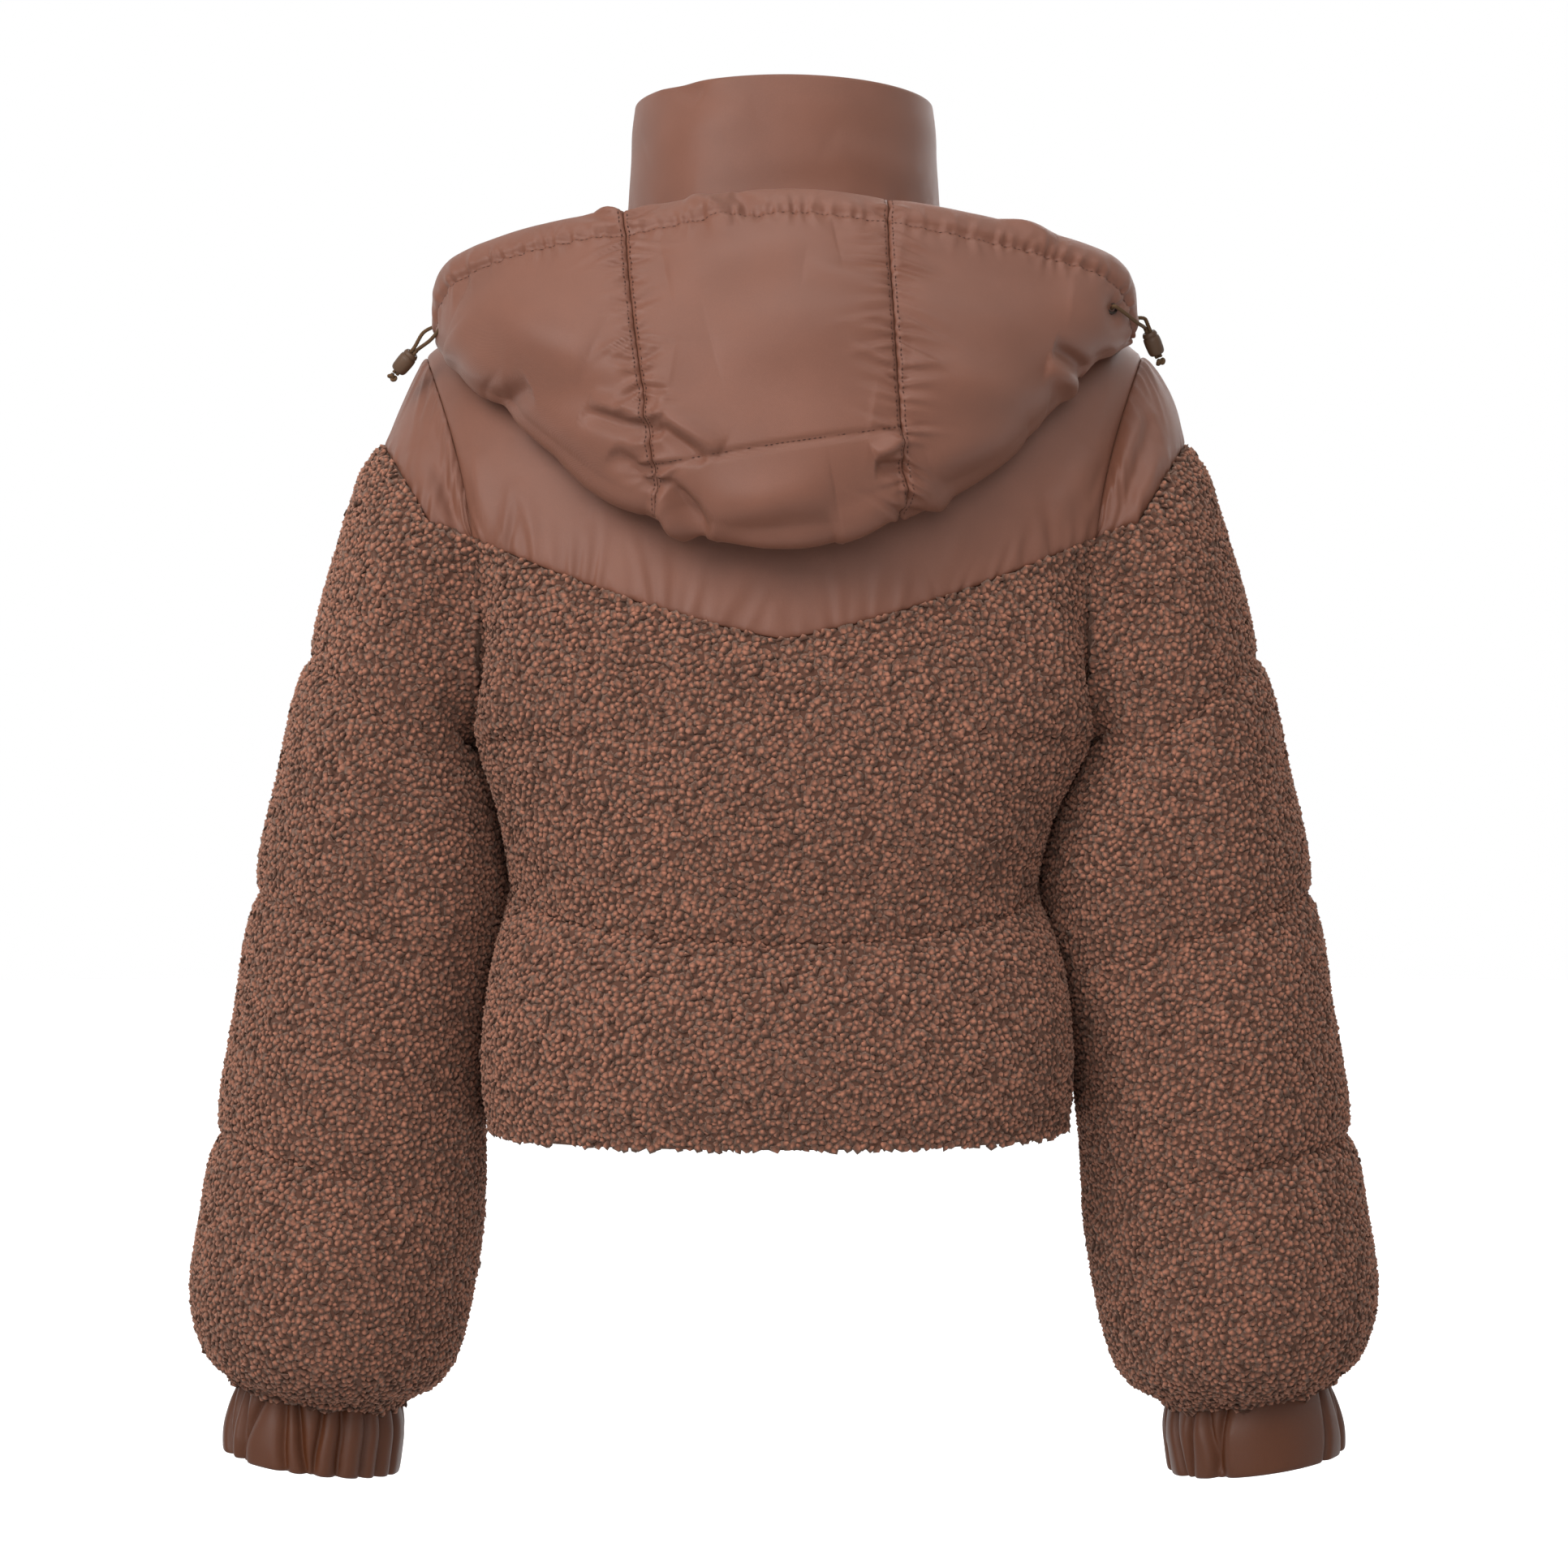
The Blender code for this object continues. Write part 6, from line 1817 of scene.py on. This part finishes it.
@dataclass
class Hood:
    """The hood, folded back: two side panels and a centre panel with a drawcord tunnel at the rim.

    Attributes:
        torso: The torso whose back yoke it lies over.
        surface: The whole hood's surface.
    """

    torso: Torso
    surface: GridSurface = field(init=False)

    def shares(self) -> list[float]:
        """Return the whole columns' shares of the way across.

        Returns:
            The shares, from -1 at the left to 1 at the right.
        """
        seam, side = HOOD_SEAM_SHARE, HOOD_SIDE_COLUMNS
        left = [-1.0 + (1.0 - seam) * step / side for step in range(side)]
        centre = [-seam + 2.0 * seam * step / HOOD_CENTRE_COLUMNS for step in range(HOOD_CENTRE_COLUMNS)]
        return left + centre + [seam + (1.0 - seam) * step / side for step in range(side + 1)]

    def yoke_outside(self, rises: Array, share: float) -> Array:
        """Return points of the back yoke's outside in one column.

        Args:
            rises: Shares of the way up the yoke.
            share: The share of the way across.

        Returns:
            The points.
        """
        places = YOKE_ROW + rises * YOKE_ROWS
        column = np.array([(share + 1.0) * COLUMNS_PER_HALF])
        panel = Panel(self.torso.back, places, column)
        return (panel.inside + panel.outward * self.torso.yoke_height(panel, Facing.BACK)[..., None])[:, 0]

    def line(self, share: float) -> Array:
        """Return one section: rim, belly, bottom fold, then forward and up to the neck seam.

        Args:
            share: The share of the way across.

        Returns:
            The points.
        """
        _, rim_x, rim_y, rim_z, bottom_x, belly, bottom_z = through([row.share for row in HOOD_SECTIONS],
                                                                   HOOD_SECTIONS, share)
        bottom_z += NYLON_WALL
        under_start = 0.22 + 0.50 * abs(share) ** 1.5
        rises = under_start + (1.0 - under_start) * np.arange(HOOD_UNDER_ROWS + 1) / HOOD_UNDER_ROWS
        under = self.yoke_outside(rises, share * 0.93)
        rim_at = np.array([rim_x, rim_y, rim_z])
        bottom = np.array([bottom_x, (belly + under[0, 1]) / 2.0, bottom_z])
        height = rim_z - bottom_z
        upper = rim_at + np.array([0.0, (belly - rim_y) * 0.9, -0.25 * height])
        lower = np.array([bottom_x, belly + (belly - bottom[1]) * 0.15, bottom_z + 0.04 * height])
        t = (np.arange(HOOD_OUTER_ROWS + 1) / HOOD_OUTER_ROWS)[:, None]
        outer = (rim_at * (1 - t) ** 3 + upper * 3 * t * (1 - t) ** 2
                 + lower * 3 * t ** 2 * (1 - t) + bottom * t ** 3)
        away = unit(stack(under[1:, 0] * 0.35, under[1:, 1] - 0.02, np.full(HOOD_UNDER_ROWS, 0.05)))
        return np.concatenate([outer, under[1:] + away * (HOOD_LIFT * (1.0 + 0.8 * rises[1:, None] ** 4))])

    def __post_init__(self) -> None:
        """Work out the hood's surface."""
        grid = np.stack([self.line(share) for share in self.shares()], axis=1)
        rows, columns = grid.shape[:2]
        self.surface = GridSurface(back_point, rows - 1, columns - 1, HOOD_MIDDLE, points=grid)
        join_outward([self.surface])
        row, column = HOOD_OUTER_ROWS // 2, columns // 2
        if self.surface.outward[row, column] @ (grid[row, column] - HOOD_MIDDLE) < 0.0:
            self.surface.outward = -self.surface.outward

    def padding(self, panel: Panel, shown: Array) -> Array:
        """Return a panel's height without its gathers: cloth, rim tunnel, puff, groove and full tips.

        Args:
            panel: The panel.
            shown: 1 on the outer rows and 0 on the rows underneath.

        Returns:
            The height at each point.
        """
        first, last = panel.columns[0], panel.columns[-1]
        tunnel = (RIM_TUNNEL_WALL - NYLON_WALL) * puff(panel.up / TUNNEL_DEPTH / 1.1 + 0.1, 0.6)
        share = np.abs(np.interp(panel.column, range(self.surface.columns + 1), self.shares()))
        tip = ease((share - HOOD_TIP_SHARE) / 0.2) * ease((HOOD_TIP_REACH - panel.up) / HOOD_TIP_FADE)
        swell = HOOD_PUFF * puff((panel.column - first) / (last - first), 0.45) * shown
        groove = TUNNEL_GROOVE * np.exp(-((panel.up - TUNNEL_DEPTH) / GROOVE_HALF_WIDTH) ** 2)
        return NYLON_WALL * (0.8 + 0.2 * shown) + tunnel + swell - groove + HOOD_TIP_EXTRA * tip

    def build(self) -> None:
        """Build the hood's three panels, puckered along their seams, and its topstitching."""
        borders = np.cumsum((0, HOOD_SIDE_COLUMNS, HOOD_CENTRE_COLUMNS, HOOD_SIDE_COLUMNS)).tolist()
        for name, first, last in zip(("hood_left", "hood_centre", "hood_right"), borders, borders[1:]):
            rows, columns = stops(0.0, self.surface.rows, per_step=14.0), stops(first, last, per_step=13.0)
            panel = Panel(self.surface, rows, columns)
            seams = [(column, away) for column, away in ((first, panel.over), (last, panel.back_over))
                     if 0 < column < self.surface.columns]
            shown = ease((HOOD_OUTER_ROWS + 1.0 - panel.row) * 2.0)
            panel.height = self.padding(panel, shown)
            panel.height += RIM_PUCKERS.at(panel.over, np.abs(panel.up - TUNNEL_DEPTH), seed=90)
            panel.roll_edges(radius=3.0 * MM, depth=1.3 * MM)
            for column, away in seams:
                gathers = HOOD_SEAM_PUCKERS.at(panel.up, away, seed=80 + column)
                panel.height += gathers * shown * ease(away / (4.0 * MM) + 0.35)
            panel.height += HOOD_FOLD_GAIN * fold_height(panel.inside, Facing.BACK.value, HOOD_FOLDS) * shown
            for place in CORD_SIDES:
                away = np.linalg.norm(panel.outside() - np.array(place.eyelet), axis=-1)
                panel.height -= place.recess * np.exp(-(away / RECESS_REACH) ** 2)
            panel.height = np.maximum(panel.height, HOOD_LEAST)
            lines = [panel.contour(panel.up, TUNNEL_DEPTH + RIM_STITCH, down_rows=True)]
            lines += [panel.contour(away, SEAM_STITCH, down_rows=False)[panel.rows <= HOOD_OUTER_ROWS]
                      for _, away in seams]
            if name == "hood_centre":
                drop = panel.outside()[..., 2] - HOOD_CROSS_SLOPE * panel.outside()[..., 0]
                lines.append(panel.contour(np.where(shown > 0.5, -drop, 1.0), -HOOD_CROSS_Z, down_rows=True))
            YOKE_NYLON.cut(panel, name)
            SEWING_THREAD.sew(f"{name}_stitches", lines)


# ------------------------------------------------------------------ drawcords and zip

class Strand(Enum):
    """Which strand of a drawcord: out of the tunnel's end, or out of the eyelet."""

    TUNNEL = "a"
    EYELET = "b"


def tube(path: Array, radius: float, sides: int, twist: float = 0.0) -> tuple[Array, list[list[int]]]:
    """Make a closed tube along a path.

    Args:
        path: Points along its middle.
        radius: Its radius.
        sides: How many sides it has.
        twist: How deep the strands of its braid stand, as a share of the radius.

    Returns:
        Its vertices and faces.
    """
    ahead = unit(np.gradient(path, axis=0))
    across = np.zeros_like(path)
    across[0] = unit(np.cross(ahead[0], (0.3, 0.9, 0.31)))
    for index in range(1, len(path)):
        across[index] = unit(across[index - 1] - ahead[index] * (across[index - 1] @ ahead[index]))
    beside = np.cross(ahead, across)
    turn = math.tau * np.arange(sides) / sides
    wound = run_length(path)[:, None] / BRAID_TURN
    reach = (radius * (1.0 + twist * np.sin(2.0 * turn + wound) * np.sin(2.0 * turn - wound)))[..., None]
    cosine, sine = np.cos(turn)[:, None], np.sin(turn)[:, None]
    rings = path[:, None] + reach * (across[:, None] * cosine + beside[:, None] * sine)
    return rings.reshape(-1, 3), ring_faces(np.arange(len(path) * sides).reshape(-1, sides))


@dataclass(frozen=True)
class Drawcord:
    """One side's drawcord: two strands, the lock that grips both, and the knot below it.

    Attributes:
        place: Where it all hangs.
    """

    place: CordSide

    def axis(self) -> Vector:
        """Return the direction down through the lock."""
        return (self.place.lock_bottom - self.place.lock_top).normalized()

    def wide(self) -> Vector:
        """Return the direction along the lock's slot."""
        axis, near = self.axis(), Vector((1.0, 0.0, 0.0))
        return (near - axis * near.dot(axis)).normalized()

    def route(self, strand: Strand) -> Array:
        """Return close points along one strand, from the hood to the knot.

        Args:
            strand: Which strand.

        Returns:
            The points.
        """
        place, axis, side = self.place, self.axis(), self.place.side.value
        if strand is Strand.EYELET:
            facing = Vector((side * 0.35, -0.90, 0.20)).normalized()
            corners = [place.eyelet, place.eyelet + facing * place.clearance, place.eyelet_bow]
            offset = self.wide() * (STRAND_OFFSET * -side)
        else:
            corners = [place.tunnel_end, place.tunnel_bow]
            offset = self.wide() * (STRAND_OFFSET * side)
        top, bottom = place.lock_top + offset, place.lock_bottom + offset
        corners += [top - axis * LOCK_APPROACH, top, bottom, bottom + axis * STRAND_TAIL]
        corners = np.array([tuple(corner) for corner in corners])
        keys = run_length(corners)
        return through(keys, corners, np.linspace(0.0, keys[-1], int(keys[-1] / STRAND_STEP)))

    def build(self) -> None:
        label = self.place.side.label
        lock = self.lock(f"cord_lock_{label}_barrel")
        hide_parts(f"cord_lock_{label}")
        knot = self.knot(f"cord_knot_{label}_tied")
        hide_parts(f"cord_knot_{label}")
        for strand in Strand:
            path = self.route(strand)
            length = float(run_length(path)[-1])
            points, faces = tube(path, CORD_RADIUS, CORD_SIDE_COUNT, BRAID_DEPTH)
            piece = make_piece(f"drawcord_{label}_{strand.value}_braid", points, faces, BRAIDED_CORD)
            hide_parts(f"drawcord_{label}_{strand.value}")
            tuple(path[0])
            log.info("drawcord %s %s: %.1f mm", label, strand.value, length / MM)

    def lock(self, name: str) -> bpy.types.Object:
        """Build the barrel lock, with a slot right through it for both strands.

        Args:
            name: The piece's name.

        Returns:
            The new object.
        """
        axis, wide = np.array(self.axis()), np.array(self.wide())
        thin = np.cross(axis, wide)
        top, bottom = np.array(self.place.lock_top), np.array(self.place.lock_bottom)
        turn = math.tau * np.arange(LOCK_SIDES) / LOCK_SIDES
        ring = np.cos(turn)[:, None] * wide + np.sin(turn)[:, None] * thin
        rows = [top + (bottom - top) * share + reach * LOCK_RADIUS * ring for share, reach in LOCK_PROFILE]
        slot_x, slot_y = (half * np.sign(part) * np.abs(part) ** LOCK_SLOT_ROUNDING
                          for half, part in zip(LOCK_SLOT, (np.cos(turn), np.sin(turn))))
        for middle in (bottom, top):
            rows.append(middle + slot_x[:, None] * wide + slot_y[:, None] * thin)
        ids = np.arange(len(rows) * LOCK_SIDES).reshape(-1, LOCK_SIDES)
        faces = ring_faces(np.concatenate([ids, ids[:1]]), capped=False)
        return make_piece(name, np.concatenate(rows), faces, MATTE_PLASTIC, (len(LOCK_PROFILE) - 1) * LOCK_SIDES)

    def knot(self, name: str) -> bpy.types.Object:
        """Build the knot as one closed turn of cord over and under itself.

        Args:
            name: The piece's name.

        Returns:
            The new object.
        """
        axis, wide = np.array(self.axis()), np.array(self.wide())
        thin = np.cross(axis, wide)
        middle = np.array(self.place.lock_bottom) + axis * (STRAND_TAIL + KNOT_GAP + KNOT_RADIUS)
        turn = np.linspace(0.0, math.tau, 65)
        x, y = np.sin(turn) + 2.0 * np.sin(2.0 * turn), np.cos(turn) - 2.0 * np.cos(2.0 * turn)
        z = -np.sin(3.0 * turn)
        scale = (KNOT_RADIUS - CORD_RADIUS) / 3.0
        path = middle + scale * (x[:, None] * wide + y[:, None] * thin + 1.2 * z[:, None] * axis)
        return make_piece(name, *tube(path, KNOT_CORD_RADIUS, KNOT_SIDE_COUNT, BRAID_DEPTH), BRAIDED_CORD)


LOCK_PROFILE = ((0.0, 0.72), (0.03, 0.80), (0.10, 0.88), (0.17, 0.90), (0.19, 0.84), (0.23, 0.84),
                (0.25, 0.96), (0.35, 1.0), (0.50, 1.02), (0.65, 1.0), (0.80, 0.98), (0.90, 0.94),
                (0.97, 0.86), (1.0, 0.76))
LOCK_SLOT = (2.5 * MM, 1.42 * MM)
LOCK_SLOT_ROUNDING = 0.7
LOCK_SIDES = 32
SLIDER_FOOT_Z = 0.0562
TOOTH_PITCH = 1.7 * MM
TOOTH_REACH = 2.7 * MM
TOOTH_HALF = (0.52 * MM, 1.2 * MM)
BEAD_FROM_CENTRE = 2.6 * MM
BEAD_BEHIND = 0.9 * MM
BEAD_RADIUS = 1.45 * MM
BEAD_STEP = 4
BEAD_SIDES = 8
TORSO_READS = 200
COLLAR_READS = 60
TOOTH_SIDES = 6
TOOTH_SECTIONS = ((-1.0, 0.75), (-0.6, 1.0), (0.05, 0.9), (0.28, 1.15), (0.42, 0.6))


@dataclass(frozen=True)
class Zip:
    """The closed centre-front zip: two rows of teeth on the tapes' beaded edges, up to the slider."""

    def line(self) -> tuple[Array, Array]:
        """Return close points up the zip's middle, hem to slider, and the outward direction at each.

        Returns:
            The points and the directions.
        """
        rows = np.linspace(0.0, TORSO_ROWS, TORSO_READS)
        torso = torso_point(rows, np.zeros(rows.shape), 1.0, Facing.FRONT.value)
        rows = np.linspace(0.0, COLLAR_ROWS, COLLAR_READS)[1:]
        line = np.concatenate([torso, collar_point(rows, np.zeros(rows.shape))])
        line[:, 0] = 0.0
        line = line[line[:, 2] < SLIDER_FOOT_Z]
        run = run_length(line)
        places = np.arange(TOOTH_PITCH, run[-1] - TOOTH_PITCH, TOOTH_PITCH / 2.0)
        points = np.stack([np.interp(places, run, part) for part in line.T], axis=-1)
        ahead = unit(np.gradient(points, axis=0))
        return points, np.stack([np.zeros(len(points)), ahead[:, 2], -ahead[:, 1]], axis=-1)

    def build(self) -> None:
        """Build the teeth, every second one from the other side, and the bead that each row stands on."""
        points, outward = self.line()
        ahead = unit(np.gradient(points, axis=0))
        vertices, faces = [], []
        turn = math.tau * (np.arange(TOOTH_SIDES) + 0.5) / TOOTH_SIDES
        for index, (point, out, up) in enumerate(zip(points, outward, ahead)):
            side = 1.0 if index % 2 else -1.0
            start = len(vertices)
            for share, swell in TOOTH_SECTIONS:
                middle = point + np.array([-side * share * TOOTH_REACH, 0.0, 0.0])
                for angle in turn:
                    vertices.append(middle + up * (TOOTH_HALF[0] * swell * math.cos(angle))
                                    + out * (TOOTH_HALF[1] * math.sin(angle)))
            faces += ring_faces(start + np.arange(TOOTH_SIDES * len(TOOTH_SECTIONS)).reshape(-1, TOOTH_SIDES))
        for side in (-1.0, 1.0):
            middle = points + (side * BEAD_FROM_CENTRE, 0.0, 0.0) - outward * BEAD_BEHIND
            bead, sides = tube(middle[::BEAD_STEP], BEAD_RADIUS, BEAD_SIDES)
            start = len(vertices)
            vertices += list(bead)
            faces += [[start + number for number in face] for face in sides]
        piece = make_piece("zip_coil_teeth", np.array(vertices), faces, ZIP_TEETH)
        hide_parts("zip_coil")
        log.info("zip: %d teeth", len(points))


def dress_nodes(finish: "Finish", *names: str) -> None:
    """Give solids that stay in view their finish.

    Args:
        finish: The finish.
        names: The solids' names.
    """
    for name in names:
        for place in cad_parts[name].material_slots:
            place.material = finish.material()


# ------------------------------------------------------------------ studio

class Lamp(NamedTuple):
    """A square lamp: its name, its place and width in metres, and its power in watts."""

    name: str
    place: tuple[float, float, float]
    width: float
    power: float


@dataclass(frozen=True)
class Studio:
    """Camera, soft lamps, a white backdrop that fades towards the camera, and a plain pale floor.

    Attributes:
        camera_place: Where the camera stands, level and facing the jacket's back.
        lens: Its focal length in millimetres.
        sensor: Its sensor's width in millimetres.
        lamps: The lamps.
        lit_place: The place that the lamps face.
        front_light: How bright the backdrop is on the camera's side.
        floor_z: The floor's height.
        floor_radius: The floor's radius.
    """

    camera_place: tuple[float, float, float] = (0.0, -2.40, -0.320)
    lens: float = 93.0
    sensor: float = 36.0
    lamps: tuple[Lamp, ...] = (Lamp("key", (-1.7, -2.3, 1.45), 1.7, 82.0),
                               Lamp("front", (0.05, -2.0, 0.5), 1.4, 24.0),
                               Lamp("rear", (0.8, 2.4, 1.2), 1.8, 20.0))
    lit_place: tuple[float, float, float] = TORSO_MIDDLE
    front_light: float = 0.48
    floor_z: float = -1.10
    floor_radius: float = 14.0

    def build(self) -> None:
        """Set up the camera, the lamps, the backdrop and the floor."""
        camera = bpy.data.cameras.new("camera")
        camera.lens = self.lens
        camera.sensor_width = self.sensor
        holder = add_object("camera", camera)
        holder.location = self.camera_place
        holder.rotation_euler = (math.radians(90.0), 0.0, 0.0)
        bpy.context.scene.camera = holder
        for lamp in self.lamps:
            data = bpy.data.lights.new(lamp.name, "AREA")
            data.size, data.energy = lamp.width, lamp.power
            hung = add_object(lamp.name, data)
            hung.location = lamp.place
            towards = Vector(self.lit_place) - Vector(lamp.place)
            hung.rotation_euler = towards.to_track_quat("-Z", "Y").to_euler()
        self.backdrop()
        self.floor()

    def backdrop(self) -> None:
        """Set up the world, white behind the jacket and dimmer on the camera's side."""
        world = bpy.data.worlds.new("studio")
        world.use_nodes = True
        wiring = Wiring(world.node_tree)
        behind = wiring.node("SeparateXYZ", {0: wiring.node("TexCoord").outputs["Generated"]}).outputs["Y"]
        backdrop = world.node_tree.nodes["Background"].inputs
        backdrop["Color"].default_value = (1.0, 1.0, 1.0, 1.0)
        wiring.feed(wiring.spread(behind, -0.08, 0.12, self.front_light, 1.0), backdrop["Strength"])
        bpy.context.scene.world = world

    def floor(self) -> None:
        """Lay the floor, which grows paler behind the jacket."""
        mesh = bpy.data.meshes.new("floor")
        shape = bmesh.new()
        bmesh.ops.create_circle(shape, cap_ends=True, segments=64, radius=self.floor_radius)
        shape.to_mesh(mesh)
        shape.free()
        floor = add_object("floor", mesh)
        floor.location.z = self.floor_z
        material = bpy.data.materials.new("floor_paper")
        material.use_nodes = True
        paper = material.node_tree.nodes["Principled BSDF"].inputs
        paper["Roughness"].default_value = 0.95
        paper["Emission Strength"].default_value = 1.0
        wiring = Wiring(material.node_tree)
        behind = wiring.node("SeparateXYZ", {0: wiring.place()}).outputs["Y"]
        wiring.feed(wiring.spread(behind, 0.6, 1.5, 0.0, 0.5), paper["Emission Color"])
        wiring.feed(wiring.spread(behind, 0.2, 1.4, 0.5, 0.98), paper["Base Color"])
        mesh.materials.append(material)


def main() -> None:
    """Build the jacket and its studio."""
    logging.basicConfig(level=logging.INFO, format="%(name)s: %(message)s")
    bpy.context.scene.view_settings.view_transform = "Standard"
    Studio().build()
    for place in CORD_SIDES:
        Drawcord(place).build()
    log.info("drawcords done")
    dress_nodes(PLATED_METAL, "eyelet_left", "eyelet_right", "zip_slider", "zip_pull")
    dress_nodes(WOVEN_TAPE, "zip_tape_left", "zip_tape_right")
    Zip().build()
    torso, collar = Torso(), Collar()
    sleeves = [Sleeve(side) for side in Side]
    shapes = [torso.back, *torso.fronts.values(), collar.surface]
    for sleeve in sleeves:
        shapes += [sleeve.cap, sleeve.pile]
    join_outward(shapes)
    join_outward([sleeve.cuff for sleeve in sleeves])
    torso.build_bodies()
    torso.build_yokes()
    log.info("torso done")
    for sleeve in sleeves:
        sleeve.build_cap()
        sleeve.build_pile()
        sleeve.build_cuff()
        log.info("%s sleeve done", sleeve.side.label)
    collar.build()
    Hood(torso).build()
    log.info("collar and hood done")


if __name__ == "__main__":
    main()
